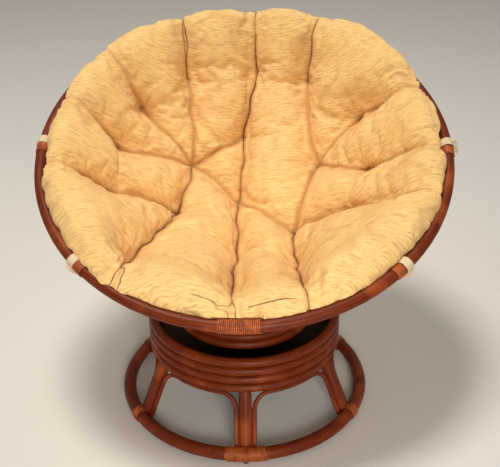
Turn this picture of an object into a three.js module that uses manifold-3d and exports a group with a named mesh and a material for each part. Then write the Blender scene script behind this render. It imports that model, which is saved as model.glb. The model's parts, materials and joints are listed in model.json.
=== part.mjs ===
// Papasan chair: a round rattan bowl with a tufted cushion, on a swivel rocker base.
// Millimetres, +Z up. The chair faces -Y. Angles round the chair start at the front and grow towards +X.

import * as THREE from 'three';
import { mergeVertices } from 'three/addons/utils/BufferGeometryUtils.js';
import Module from 'manifold-3d';

const wasm = await Module();
wasm.setup();

// Clearances
const seatGap = 0.3;
const cushionSeatGap = 0.6;
const bowlSeatGap = 0.4;
const cutOverrun = 40;

// Faces round a section and steps along a ring or pole
const poleSides = 10;
const slimSides = 8;
const bottomRingSides = 10;
const footRingSteps = 48;
const drumRingSteps = 30;
const cradleRingSteps = 28;
const rimSteps = 56;
const midRingSteps = 40;
const bottomRingSteps = 24;
const postSides = 12;
const archStretchSteps = [1, 4, 4, 4, 1];
const ribSteps = 10;
const discSides = 36;
const boltSides = 16;
const cornerSegments = 2;
const curlSteps = 8;
const wireSides = 5;

// Foot ring, its bindings and glides
const footRingRadius = 320;
const footPoleRadius = 17;
const footBindingThickness = 2.5;
const footBindingWidth = 30;
const footSpliceWidth = 106;
const glideRadius = 9;
const glideHeight = 3;
const glideSocketDepth = 2.5;
const footCentreHeight = glideHeight + footBindingThickness + seatGap + footPoleRadius;

// Posts and arch braces. The posts stand turned a little on the swivel's axis.
const standTurn = THREE.MathUtils.degToRad(2.6);
const postCount = 6;
const postRadius = 16.5;
const postFootInset = 20;
const archPoleRadius = 6;
const archBendRadius = 40;

// Drum rings
const drumRingCount = 4;
const drumRingRadius = 244;
const drumPoleRadius = 12.3;
const drumLift = 149.3;
const drumPitch = 2 * drumPoleRadius + seatGap;
const drumLowestHeight = footCentreHeight + drumLift;
const drumRingInside = (drumRingRadius - drumPoleRadius) * Math.cos(Math.PI / drumRingSteps);
const drumUnderside = drumLowestHeight - drumPoleRadius;
const archTopHeight = drumUnderside - seatGap - archPoleRadius;
const postFootRadius = footRingRadius - postFootInset;

// Swivel rocker mechanism, stacked upwards from the mounting board
const mountingBoardThickness = 20;
const plateThickness = 3;
const plateCornerRadius = 12;
const basePlateSide = 180;
const bearingOuterRadius = 62;
const bearingInnerRadius = 40;
const bearingHeight = 8;
const turntableWidth = 150;
const turntableDepth = 176;
const topPlateWidth = 130;
const topPlateDepth = 170;
const pivotLift = 15;
const pivotToTopPlate = 16;
const pinRadius = 5;
const pinHeadRadius = 8.5;
const pinHeadThickness = 3;
const earRadius = 10;
const earFootHalfWidth = 22;
const earOuterFace = 71.5;
const springWireRadius = 1.8;
const springCoilRadius = 13;
const springCurls = 3;
const springAcross = 35;
const springAlong = 62;

const mountingBoardBottom = drumLowestHeight;
const mountingBoardRadius = drumRingInside - seatGap;
const basePlateBottom = mountingBoardBottom + mountingBoardThickness + seatGap;
const bearingBottom = basePlateBottom + plateThickness + seatGap;
const turntableBottom = bearingBottom + bearingHeight + seatGap;
const turntableTop = turntableBottom + plateThickness;
const pivotHeight = turntableTop + pivotLift;
const topPlateBottom = pivotHeight + pivotToTopPlate;

// Cradle, which carries the bowl
const cradleRingCount = 3;
const cradleRingRadius = 170;
const cradlePoleRadius = 12;
const cradleBoardThickness = 16;
const cradlePoleHeight = 2 * cradlePoleRadius * Math.cos(Math.PI / poleSides);
const cradlePitch = cradlePoleHeight + seatGap;
const cradleRingInside = (cradleRingRadius - cradlePoleRadius) * Math.cos(Math.PI / cradleRingSteps);
const cradleBoardRadius = cradleRingInside - seatGap;
const cradleBoardBottom = topPlateBottom + plateThickness + seatGap;
const cradleLowestHeight = cradleBoardBottom + cradleBoardThickness / 2;
const cradleTopHeight = cradleLowestHeight + (cradleRingCount - 1) * cradlePitch;

// Bowl, part of a sphere that sits in the cradle's top ring
const bowlTilt = THREE.MathUtils.degToRad(25.5);
const rimRadius = 516;
const rimPoleRadius = 15;
const bowlSag = 358;
const ribCount = 8;
const ribRadius = 10;
const bottomRingRadius = 140;
const bottomPoleRadius = 12;
const bottomRingStandOff = 0.6;
const midRingRadius = 360;
const midPoleRadius = 9;
const spliceWidth = 102;
const spliceAngle = THREE.MathUtils.degToRad(0.7);
const spliceThickness = 2;
const tieWidth = 22;
const tieThickness = 2.5;
const tieAngles = [-92.8, -47.8, 47.8, 92.8];

const bowlSphereRadius = (rimRadius ** 2 + bowlSag ** 2) / (2 * bowlSag);
const sphereToRimPlane = bowlSphereRadius - bowlSag;
const bowlOuterRadius = bowlSphereRadius + ribRadius + bottomRingStandOff;
const cradleToSphere = bowlOuterRadius + bowlSeatGap + cradlePoleRadius;
const sphereHeight = cradleTopHeight + Math.sqrt(cradleToSphere ** 2 - cradleRingRadius ** 2);
const bottomRingSphere = bowlOuterRadius - bottomPoleRadius;
const midRingSphere = bowlSphereRadius - ribRadius - seatGap - midPoleRadius;

// Cushion. Its section round the edge changes from the front to the sides and the back.
// Edge points are shares of the rim radius across and of the loft up from the rim plane.
const cushionLoft = 118;
const cushionFrontOverlap = 2;
const cushionSideOverlap = 15;
const cushionBackOverlap = 14;
const frontEdgeShares = { crest: [0.84, 0.23], outerRise: 0.12, under: [0.92, -0.27], dish: 1.75 };
const sideEdgeShares = { crest: [0.87, 0.4], outerRise: 0.23, under: [0.93, -0.2], dish: 1.6 };
const backEdgeShares = { crest: [0.9, 0.49], outerRise: 0.26, under: [0.938, 0], dish: 1.75 };
const wallCurveShare = 0.8;
const frontBlendShare = 2.5;
const rearBulgeShares = [[140, 0.2], [-137, 0.12]];
const rearBulgeWidth = THREE.MathUtils.degToRad(26);
const rearBulgeRiseShare = 0.4;
const underSettleShare = 0.25;
const backBlendStart = THREE.MathUtils.degToRad(60);
const backBlendEnd = THREE.MathUtils.degToRad(150);
const cushionUnderRadius = midRingSphere - midPoleRadius - cushionSeatGap;

// Sewn pattern of the cushion laid flat: degrees from the front, and shares of the rim radius
const middleTuftShares = [-157, 0.1];
const innerTuftShares = [[-7, 0.28], [62, 0.26], [124, 0.42], [183, 0.42], [-133, 0.37], [-83, 0.34]];
const outerTuftShares = [
  [-3, 0.68], [33, 0.46], [74, 0.53], [99, 0.63], [125, 0.72], [155, 0.74],
  [177, 0.75], [-154, 0.76], [-129, 0.73], [-107, 0.69], [-82, 0.71], [-43, 0.79],
];
const edgeSeamAngles = [-1, 18, 72, 89, 113, 157, 178, -158, -130, -108, -82, -32];
const edgeSeamShare = 1.16;
const creaseDepth = 36;
const creaseWidth = 48;
const creaseCurveShare = 2;
const creaseEdgeShares = { start: 0.83, end: 0.98, lost: 0.72 };
const creaseFadeShare = 0.1;
const tuftDepth = 24;
const tuftWidth = 46;
const tuftCurveShare = 2;

// Materials
const rattan = new THREE.MeshStandardMaterial({ color: 0x5a2113, roughness: 0.35, metalness: 0 });
const cane = new THREE.MeshStandardMaterial({ color: 0x9a4a1c, roughness: 0.5, metalness: 0 });
const cloth = new THREE.MeshStandardMaterial({ color: 0xd8b98a, roughness: 0.95, metalness: 0 });
const tieCloth = new THREE.MeshStandardMaterial({ color: 0xe0cba6, roughness: 0.9, metalness: 0 });
const plywood = new THREE.MeshStandardMaterial({ color: 0x3a261a, roughness: 0.7, metalness: 0 });
const steel = new THREE.MeshStandardMaterial({ color: 0x2a2a2c, roughness: 0.45, metalness: 0.8 });
const springSteel = new THREE.MeshStandardMaterial({ color: 0x6d7074, roughness: 0.35, metalness: 1 });
const rubber = new THREE.MeshStandardMaterial({ color: 0x1a1817, roughness: 0.85, metalness: 0 });

// Solids from geometries, and back
function toSolid(geometry) {
  const bare = geometry.clone();
  bare.deleteAttribute('normal');
  bare.deleteAttribute('uv');
  const merged = mergeVertices(bare);
  return new wasm.Manifold(new wasm.Mesh({
    numProp: 3,
    vertProperties: new Float32Array(merged.attributes.position.array),
    triVerts: new Uint32Array(merged.index.array),
  }));
}

function toGeometry(solid) {
  const mesh = solid.getMesh();
  const geometry = new THREE.BufferGeometry();
  geometry.setAttribute('position', new THREE.BufferAttribute(mesh.vertProperties, 3));
  geometry.setIndex(new THREE.BufferAttribute(mesh.triVerts, 1));
  geometry.computeVertexNormals();
  return geometry;
}

function cutBy(geometry, ...tools) {
  let solid = toSolid(geometry);
  for (const tool of tools) {
    solid = solid.subtract(toSolid(tool));
  }
  return toGeometry(solid);
}

function joined(...geometries) {
  let solid = toSolid(geometries[0]);
  for (const geometry of geometries.slice(1)) {
    solid = solid.add(toSolid(geometry));
  }
  return toGeometry(solid);
}

// A curve that takes a set number of steps along each of its stretches
class SteppedCurve extends THREE.Curve {
  constructor(stretches) {
    super();
    this.stretches = stretches;
    this.steps = stretches.reduce((sum, stretch) => sum + stretch.steps, 0);
  }

  getUtoTmapping(share) {
    return share;
  }

  getPoint(share, target = new THREE.Vector3()) {
    let place = share * this.steps;
    let i = 0;
    while (i < this.stretches.length - 1 && place > this.stretches[i].steps) {
      place -= this.stretches[i].steps;
      i += 1;
    }
    const stretch = this.stretches[i];
    return target.copy(stretch.pointAt(place / stretch.steps));
  }
}

function polygonShape(radius, sides) {
  const corners = Array.from({ length: sides }, (_, i) => {
    const angle = (i / sides) * 2 * Math.PI;
    return new THREE.Vector2(radius * Math.cos(angle), radius * Math.sin(angle));
  });
  return new THREE.Shape(corners);
}

function pole(path, radius, sides) {
  return new THREE.ExtrudeGeometry(polygonShape(radius, sides), {
    steps: path.steps,
    bevelEnabled: false,
    extrudePath: path,
  });
}

// A cutter or wrap keeps its flats parallel to the ring's, so the gap is even all round
function grownPole(radius, growth, sides) {
  return radius + growth / Math.cos(Math.PI / sides);
}

function ringGeometry(radius, poleRadius, sides, steps) {
  return new THREE.TorusGeometry(radius, poleRadius, sides, steps);
}

function polar(radius, angle, height) {
  return new THREE.Vector3(radius * Math.sin(angle), -radius * Math.cos(angle), height);
}

function namedMesh(name, geometry, material) {
  const mesh = new THREE.Mesh(geometry, material);
  mesh.name = name;
  return mesh;
}

// Cane or cloth wound round a stretch of a ring, centred on the given angle
function ringWrap(ring, gap, thickness, width, angle) {
  const inner = grownPole(ring.poleRadius, gap, ring.sides);
  const outer = grownPole(ring.poleRadius, gap + thickness, ring.sides);
  const sleeve = toSolid(ringGeometry(ring.radius, outer, ring.sides, ring.steps))
    .subtract(toSolid(ringGeometry(ring.radius, inner, ring.sides, ring.steps)));
  const reach = 2 * outer + cutOverrun;
  const window = new THREE.BoxGeometry(width, reach, reach);
  window.translate(0, -ring.radius, 0);
  window.rotateZ(angle);
  return toGeometry(sleeve.intersect(toSolid(window)));
}

const footRing = {
  radius: footRingRadius,
  poleRadius: footPoleRadius,
  sides: poleSides,
  steps: footRingSteps,
};
const rimRing = { radius: rimRadius, poleRadius: rimPoleRadius, sides: poleSides, steps: rimSteps };

// The posts stand on the foot bindings, and the glides carry the bindings from below
function footBindingCutter() {
  const grown = grownPole(footPoleRadius, footBindingThickness + 2 * seatGap, poleSides);
  const cutter = ringGeometry(footRingRadius, grown, poleSides, footRingSteps);
  cutter.translate(0, 0, footCentreHeight);
  return cutter;
}

// The posts and braces lean in on one cone, from the foot ring to the lowest drum ring
function coneRadius(height) {
  const climb = (height - footCentreHeight) / (archTopHeight - footCentreHeight);
  return THREE.MathUtils.lerp(postFootRadius, drumRingRadius, climb);
}

// Post: straight, hollowed at its foot to sit on the foot binding, and flat under the drum
function postGeometry() {
  const foot = polar(postFootRadius, 0, footCentreHeight);
  const top = polar(coneRadius(drumLowestHeight), 0, drumLowestHeight);
  const path = new SteppedCurve([{ steps: 1, pointAt: (share) => foot.clone().lerp(top, share) }]);
  const drumCutter = discGeometry(footRingRadius, drumUnderside - seatGap, 2 * cutOverrun);
  return cutBy(pole(path, postRadius, postSides), footBindingCutter(), drumCutter);
}

// Arch brace: up beside one post, along under the drum and down beside the next post.
// It is drawn flat, with its middle at x = 0, and wrapped on the cone.
const archHalfAngle = Math.PI / postCount;
const archHalfSpan = archHalfAngle * drumRingRadius;
const archLegOffset = postRadius + seatGap + archPoleRadius;

function archFlatCurves() {
  const side = archHalfSpan - archLegOffset;
  const shoulder = archTopHeight - archBendRadius;
  const bendCentre = side - archBendRadius;
  const line = (startX, startY, endX, endY) => (
    new THREE.LineCurve(new THREE.Vector2(startX, startY), new THREE.Vector2(endX, endY)));
  const bend = (centreX, start, end) => (
    new THREE.ArcCurve(centreX, shoulder, archBendRadius, start, end, true));
  return [
    line(-side, footCentreHeight, -side, shoulder),
    bend(-bendCentre, Math.PI, Math.PI / 2),
    line(-bendCentre, archTopHeight, bendCentre, archTopHeight),
    bend(bendCentre, Math.PI / 2, 0),
    line(side, shoulder, side, footCentreHeight),
  ];
}

function wrapOnCone(flat) {
  const radius = coneRadius(flat.y);
  const fromPost = archHalfSpan - Math.abs(flat.x);
  const angle = Math.sign(flat.x) * (archHalfAngle - fromPost / radius);
  return polar(radius, angle, flat.y);
}

function archPath() {
  return new SteppedCurve(archFlatCurves().map((curve, i) => ({
    steps: archStretchSteps[i],
    pointAt: (share) => wrapOnCone(curve.getPoint(share)),
  })));
}

// Its feet rest on the foot ring, and beside the front post on the wide splice binding
function archGeometry(i) {
  const grown = grownPole(footPoleRadius, seatGap, poleSides);
  const ringCutter = ringGeometry(footRingRadius, grown, poleSides, footRingSteps);
  ringCutter.rotateZ(-archHalfAngle);
  const thickness = footBindingThickness + 2 * seatGap;
  const spliceCutter = ringWrap(footRing, 0, thickness, footSpliceWidth + 2 * seatGap, 0);
  spliceCutter.rotateZ(-(2 * i + 1) * archHalfAngle);
  ringCutter.translate(0, 0, footCentreHeight);
  spliceCutter.translate(0, 0, footCentreHeight);
  return cutBy(pole(archPath(), archPoleRadius, slimSides), ringCutter, spliceCutter);
}

function footBindingGeometry(width) {
  const wrap = ringWrap(footRing, seatGap, footBindingThickness, width, 0);
  wrap.translate(0, 0, footCentreHeight);
  return wrap;
}

function glideGeometry() {
  const height = glideHeight + glideSocketDepth;
  const button = new THREE.CylinderGeometry(glideRadius, glideRadius, height, boltSides);
  button.rotateX(Math.PI / 2);
  button.translate(0, -footRingRadius, height / 2);
  return cutBy(button, footBindingCutter());
}

// Flat plates and boards
function discGeometry(radius, bottom, thickness) {
  const disc = new THREE.CylinderGeometry(radius, radius, thickness, discSides);
  disc.rotateX(Math.PI / 2);
  disc.translate(0, 0, bottom + thickness / 2);
  return disc;
}

function plateGeometry(width, depth, bottom) {
  const x = width / 2;
  const y = depth / 2;
  const c = plateCornerRadius;
  const outline = new THREE.Shape();
  outline.absarc(x - c, -y + c, c, -Math.PI / 2, 0, false);
  outline.absarc(x - c, y - c, c, 0, Math.PI / 2, false);
  outline.absarc(-x + c, y - c, c, Math.PI / 2, Math.PI, false);
  outline.absarc(-x + c, -y + c, c, Math.PI, 1.5 * Math.PI, false);
  const plate = new THREE.ExtrudeGeometry(outline, {
    depth: plateThickness,
    bevelEnabled: false,
    curveSegments: cornerSegments,
  });
  plate.translate(0, 0, bottom);
  return plate;
}

function mountingBoardGeometry() {
  const board = discGeometry(mountingBoardRadius, mountingBoardBottom, mountingBoardThickness);
  const bore = discGeometry(bearingInnerRadius, mountingBoardBottom - cutOverrun, 2 * cutOverrun);
  return cutBy(board, bore);
}

function bearingGeometry() {
  const corners = [
    [bearingInnerRadius, 0],
    [bearingOuterRadius, 0],
    [bearingOuterRadius, bearingHeight],
    [bearingInnerRadius, bearingHeight],
    [bearingInnerRadius, 0],
  ];
  const profile = corners.map(([radius, height]) => new THREE.Vector2(radius, height));
  const ring = new THREE.LatheGeometry(profile, discSides);
  ring.rotateX(Math.PI / 2);
  ring.translate(0, 0, bearingBottom);
  return ring;
}

// Ear: a tab from a plate to a round eye about the pivot, as thick as the plates
function earGeometry(plateFace, faceX) {
  const drop = plateFace - pivotHeight;
  const up = Math.sign(drop);
  const tab = new THREE.Shape();
  tab.moveTo(-earFootHalfWidth, drop);
  tab.absarc(0, 0, earRadius, Math.PI, 0, up < 0);
  tab.lineTo(earFootHalfWidth, drop);
  const ear = new THREE.ExtrudeGeometry(tab, {
    depth: plateThickness,
    bevelEnabled: false,
    curveSegments: boltSides / 2,
  });
  const eyeRadius = grownPole(pinRadius, seatGap, boltSides);
  const eye = new THREE.CylinderGeometry(eyeRadius, eyeRadius, 2 * cutOverrun, boltSides);
  eye.rotateX(Math.PI / 2);
  const bored = cutBy(ear, eye);
  bored.rotateX(Math.PI / 2);
  bored.rotateZ(Math.PI / 2);
  bored.translate(faceX, 0, pivotHeight);
  return bored;
}

function turntableGeometry() {
  const plate = plateGeometry(turntableWidth, turntableDepth, turntableBottom);
  const sink = plateThickness / 2;
  const right = earGeometry(turntableTop - sink, earOuterFace - plateThickness);
  const left = earGeometry(turntableTop - sink, -earOuterFace);
  return joined(plate, right, left);
}

function topBracketGeometry() {
  const plate = plateGeometry(topPlateWidth + 2 * plateThickness, topPlateDepth, topPlateBottom);
  const sink = plateThickness / 2;
  const innerFace = earOuterFace - plateThickness - seatGap;
  const right = earGeometry(topPlateBottom + sink, innerFace - plateThickness);
  const left = earGeometry(topPlateBottom + sink, -innerFace);
  return joined(plate, right, left);
}

function pivotPinGeometry() {
  const shank = earOuterFace + seatGap;
  const end = shank + pinHeadThickness;
  const corners = [
    [0, -end],
    [pinHeadRadius, -end],
    [pinHeadRadius, -shank],
    [pinRadius, -shank],
    [pinRadius, shank],
    [pinHeadRadius, shank],
    [pinHeadRadius, end],
    [0, end],
  ];
  const profile = corners.map(([radius, place]) => new THREE.Vector2(radius, place));
  const pin = new THREE.LatheGeometry(profile, boltSides);
  pin.rotateZ(-Math.PI / 2);
  pin.translate(0, 0, pivotHeight);
  return pin;
}

// Coil spring: one unbroken wire of 8 steps and 5 sides a curl, its ends straight and upright
function springPoints() {
  const bottom = turntableTop + seatGap;
  const top = topPlateBottom - seatGap;
  const tail = 2 * springWireRadius;
  const climb = top - bottom - 2 * tail;
  const steps = springCurls * curlSteps;
  const points = [new THREE.Vector3(springCoilRadius, 0, bottom)];
  for (let i = 0; i <= steps; i += 1) {
    const angle = (i / curlSteps) * 2 * Math.PI;
    const x = springCoilRadius * Math.cos(angle);
    const y = springCoilRadius * Math.sin(angle);
    points.push(new THREE.Vector3(x, y, bottom + tail + (climb * i) / steps));
  }
  points.push(new THREE.Vector3(springCoilRadius, 0, top));
  return points;
}

function wireRing(points, i, across) {
  const before = points[Math.max(i - 1, 0)];
  const after = points[Math.min(i + 1, points.length - 1)];
  const along = new THREE.Vector3().subVectors(after, before).normalize();
  const first = across.clone().addScaledVector(along, -across.dot(along)).normalize();
  const second = new THREE.Vector3().crossVectors(along, first);
  const ring = Array.from({ length: wireSides }, (_, k) => {
    const angle = (k / wireSides) * 2 * Math.PI;
    return points[i].clone()
      .addScaledVector(first, springWireRadius * Math.cos(angle))
      .addScaledVector(second, springWireRadius * Math.sin(angle));
  });
  return { ring, first };
}

function springGeometry() {
  const points = springPoints();
  const corners = [];
  let across = new THREE.Vector3(1, 0, 0);
  points.forEach((_, i) => {
    const { ring, first } = wireRing(points, i, across);
    corners.push(...ring);
    across = first;
  });
  const index = [];
  for (let i = 0; i < points.length - 1; i += 1) {
    for (let k = 0; k < wireSides; k += 1) {
      const next = (k + 1) % wireSides;
      const a = i * wireSides + k;
      const b = i * wireSides + next;
      index.push(a, b, b + wireSides, a, b + wireSides, a + wireSides);
    }
  }
  const last = (points.length - 1) * wireSides;
  for (let k = 1; k < wireSides - 1; k += 1) {
    index.push(0, k + 1, k, last, last + k, last + k + 1);
  }
  const geometry = new THREE.BufferGeometry().setFromPoints(corners);
  geometry.setIndex(index);
  geometry.computeVertexNormals();
  return geometry;
}

function leastSpringGap() {
  const points = springPoints().slice(1, -1);
  let least = Infinity;
  points.forEach((point, i) => {
    for (const other of points.slice(i + curlSteps - 1)) {
      least = Math.min(least, point.distanceTo(other) - 2 * springWireRadius);
    }
  });
  return least;
}

// Bowl poles follow circles and arcs of the bowl's sphere, whose centre is the bowl's own origin
function spherePoint(radius, angleFromBottom, angleRound) {
  const across = radius * Math.sin(angleFromBottom);
  return polar(across, angleRound, -radius * Math.cos(angleFromBottom));
}

const rimPolarAngle = Math.asin(rimRadius / bowlSphereRadius);
const bottomPolarAngle = Math.asin(bottomRingRadius / bottomRingSphere);

function ribPath() {
  const pointAt = (share) => {
    const angle = THREE.MathUtils.lerp(rimPolarAngle, bottomPolarAngle, share);
    return spherePoint(bowlSphereRadius, angle, 0);
  };
  return new SteppedCurve([{ steps: ribSteps, pointAt }]);
}

function rimGeometry(poleRadius = rimPoleRadius) {
  const rim = ringGeometry(rimRadius, poleRadius, poleSides, rimSteps);
  rim.translate(0, 0, -sphereToRimPlane);
  return rim;
}

function bottomRingGeometry(poleRadius = bottomPoleRadius) {
  const ring = ringGeometry(bottomRingRadius, poleRadius, bottomRingSides, bottomRingSteps);
  ring.translate(0, 0, -bottomRingSphere * Math.cos(bottomPolarAngle));
  return ring;
}

function midRingGeometry() {
  const drop = Math.sqrt(midRingSphere ** 2 - midRingRadius ** 2);
  const ring = ringGeometry(midRingRadius, midPoleRadius, slimSides, midRingSteps);
  ring.translate(0, 0, -drop);
  return ring;
}

function ribGeometry() {
  const whole = pole(ribPath(), ribRadius, slimSides);
  const rimCutter = rimGeometry(grownPole(rimPoleRadius, seatGap, poleSides));
  const bottomCutter = bottomRingGeometry(grownPole(bottomPoleRadius, seatGap, bottomRingSides));
  return cutBy(whole, rimCutter, bottomCutter);
}

function spliceBindingGeometry() {
  const wrap = ringWrap(rimRing, seatGap, spliceThickness, spliceWidth, spliceAngle);
  wrap.translate(0, 0, -sphereToRimPlane);
  const ribCutter = pole(ribPath(), grownPole(ribRadius, seatGap, slimSides), slimSides);
  return cutBy(wrap, ribCutter);
}

function tieGeometry(angle) {
  const wrap = ringWrap(rimRing, seatGap, tieThickness, tieWidth, angle);
  wrap.translate(0, 0, -sphereToRimPlane);
  return wrap;
}

// Cushion. Heights are from the rim plane; the section runs from the middle of the top,
// over the crest and round the outside, to the middle of the underside.
const cushionSectors = 48;
const topSteps = 66;
const crownSteps = 14;
const wallSteps = 12;
const underSteps = 18;
const firstUnderStep = topSteps + crownSteps + wallSteps;
const topRows = 14;
const restRows = 10;
const smoothingPasses = 10;
const cushionMiddleRise = sphereToRimPlane - cushionUnderRadius + cushionLoft;

function edgeFrom(shares, outerRadius) {
  return {
    crestRadius: shares.crest[0] * rimRadius,
    crestRise: shares.crest[1] * cushionLoft,
    outerRadius,
    outerRise: shares.outerRise * cushionLoft,
    underRadius: shares.under[0] * rimRadius,
    underRise: shares.under[1] * cushionLoft,
    dish: shares.dish,
  };
}

const rimInside = rimRadius - rimPoleRadius;
const frontEdge = edgeFrom(frontEdgeShares, rimInside + cushionFrontOverlap);
const sideEdge = edgeFrom(sideEdgeShares, rimInside + cushionSideOverlap);
const backEdge = edgeFrom(backEdgeShares, rimInside + cushionBackOverlap);

function blendEdges(a, b, share) {
  const blended = {};
  for (const key of Object.keys(a)) {
    blended[key] = THREE.MathUtils.lerp(a[key], b[key], share);
  }
  return blended;
}

// The cushion swells over the rim at both rear quarters
function rearBulge(angle) {
  return rearBulgeShares.reduce((sum, [degrees, share]) => {
    const off = Math.abs(angle - THREE.MathUtils.degToRad(degrees));
    return sum + share * cushionLoft * bump(off, rearBulgeWidth, 2);
  }, 0);
}

function edgeAt(angle) {
  const front = Math.max(Math.cos(angle), 0) ** frontBlendShare;
  const back = THREE.MathUtils.smoothstep(Math.abs(angle), backBlendStart, backBlendEnd);
  const edge = blendEdges(blendEdges(sideEdge, frontEdge, front), backEdge, back);
  const bulge = rearBulge(angle);
  edge.crestRadius += bulge;
  edge.outerRadius += bulge;
  edge.outerRise += bulge * rearBulgeRiseShare;
  edge.crestRise += bulge * rearBulgeRiseShare;
  return edge;
}

function topStretch(edge) {
  return Array.from({ length: topSteps }, (_, i) => {
    const share = i / topSteps;
    const rise = THREE.MathUtils.lerp(cushionMiddleRise, edge.crestRise, share ** edge.dish);
    return new THREE.Vector2(share * edge.crestRadius, rise);
  });
}

function crownStretch(edge) {
  return Array.from({ length: crownSteps }, (_, i) => {
    const turn = ((i / crownSteps) * Math.PI) / 2;
    return new THREE.Vector2(
      THREE.MathUtils.lerp(edge.crestRadius, edge.outerRadius, Math.sin(turn)),
      THREE.MathUtils.lerp(edge.outerRise, edge.crestRise, Math.cos(turn)),
    );
  });
}

// The wall leans in as it goes down, to clear the rim
function wallStretch(edge) {
  return Array.from({ length: wallSteps }, (_, i) => {
    const share = Math.sin(((i / wallSteps) * Math.PI) / 2);
    return new THREE.Vector2(
      THREE.MathUtils.lerp(edge.outerRadius, edge.underRadius, share ** wallCurveShare),
      THREE.MathUtils.lerp(edge.outerRise, edge.underRise, share),
    );
  });
}

function underStretch(edge) {
  return Array.from({ length: underSteps + 1 }, (_, i) => {
    const share = i / underSteps;
    const radius = edge.underRadius * (1 - share);
    const sphereRise = sphereToRimPlane - Math.sqrt(cushionUnderRadius ** 2 - radius ** 2);
    const settle = Math.min(share / underSettleShare, 1);
    return new THREE.Vector2(radius, THREE.MathUtils.lerp(edge.underRise, sphereRise, settle));
  });
}

function smoothed(points) {
  let current = points;
  for (let pass = 0; pass < smoothingPasses; pass += 1) {
    current = current.map((point, i) => {
      if (i === 0 || i > firstUnderStep) {
        return point;
      }
      const mean = current[i - 1].clone().add(current[i + 1]).multiplyScalar(0.5);
      return mean.add(point).multiplyScalar(0.5);
    });
  }
  return current;
}

function cushionSection(angle) {
  const edge = edgeAt(angle);
  const stretches = [topStretch(edge), crownStretch(edge), wallStretch(edge), underStretch(edge)];
  return smoothed(stretches.flat());
}

// Tufts in two rings round the middle one, with creases between them and out to the edge
function flatPoint([degrees, share]) {
  const angle = THREE.MathUtils.degToRad(degrees);
  const reach = share * rimRadius;
  return new THREE.Vector2(reach * Math.sin(angle), -reach * Math.cos(angle));
}

const middleTuft = flatPoint(middleTuftShares);
const innerTufts = innerTuftShares.map(flatPoint);
const outerTufts = outerTuftShares.map(flatPoint);
const edgeEnds = edgeSeamAngles.map((degrees) => flatPoint([degrees, edgeSeamShare]));
const tufts = [middleTuft, ...innerTufts, ...outerTufts];

function creaseLines() {
  const spokesInward = [0, 1, 1, 2, 2, 2, 3, 4, 4, 4, 5, 5];
  const lines = outerTufts.flatMap((tuft, i) => [
    [edgeEnds[i], tuft],
    [tuft, innerTufts[spokesInward[i]]],
  ]);
  const [front, frontRight, right, back, left, frontLeft] = innerTufts;
  lines.push([front, middleTuft], [middleTuft, back], [middleTuft, left], [middleTuft, frontRight]);
  lines.push([frontRight, right], [left, frontLeft], [left, back]);
  return lines;
}

const creases = creaseLines();

function distanceToCrease(place, [start, end]) {
  const line = end.clone().sub(start);
  const along = place.clone().sub(start).dot(line) / line.lengthSq();
  const nearest = start.clone().addScaledVector(line, THREE.MathUtils.clamp(along, 0, 1));
  return place.distanceTo(nearest);
}

function bump(distance, width, curve) {
  return Math.exp(-((distance / width) ** curve));
}

function sewnDepth(place) {
  const toCrease = Math.min(...creases.map((crease) => distanceToCrease(place, crease)));
  const toTuft = Math.min(...tufts.map((tuft) => place.distanceTo(tuft)));
  const { start, end, lost } = creaseEdgeShares;
  const nearEdge = THREE.MathUtils.smoothstep(place.length(), start * rimRadius, end * rimRadius);
  const crease = creaseDepth * bump(toCrease, creaseWidth, creaseCurveShare) * (1 - lost * nearEdge);
  return crease + tuftDepth * bump(toTuft, tuftWidth, tuftCurveShare);
}

function sectionNormal(section, i) {
  const before = section[Math.max(i - 1, 0)];
  const after = section[Math.min(i + 1, section.length - 1)];
  const along = after.clone().sub(before).normalize();
  return new THREE.Vector2(-along.y, along.x);
}

function sewnSection(angle) {
  const section = cushionSection(angle);
  const reach = [0];
  section.slice(1).forEach((point, i) => reach.push(reach[i] + point.distanceTo(section[i])));
  const edgeReach = reach[firstUnderStep];
  return section.map((point, i) => {
    const left = (edgeReach - reach[i]) / (creaseFadeShare * edgeReach);
    const place = new THREE.Vector2(reach[i] * Math.sin(angle), -reach[i] * Math.cos(angle));
    const depth = sewnDepth(place) * THREE.MathUtils.clamp(left, 0, 1);
    const normal = i === 0 ? new THREE.Vector2(0, 1) : sectionNormal(section, i);
    return point.clone().addScaledVector(normal, -depth);
  });
}

function pickRows(section) {
  const last = section.length - 1;
  const picks = [];
  for (let i = 0; i < topRows; i += 1) {
    picks.push(Math.round((i / topRows) * topSteps));
  }
  for (let i = 0; i <= restRows; i += 1) {
    picks.push(Math.round(THREE.MathUtils.lerp(topSteps, last, i / restRows)));
  }
  return picks.map((i) => section[i]);
}

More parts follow.
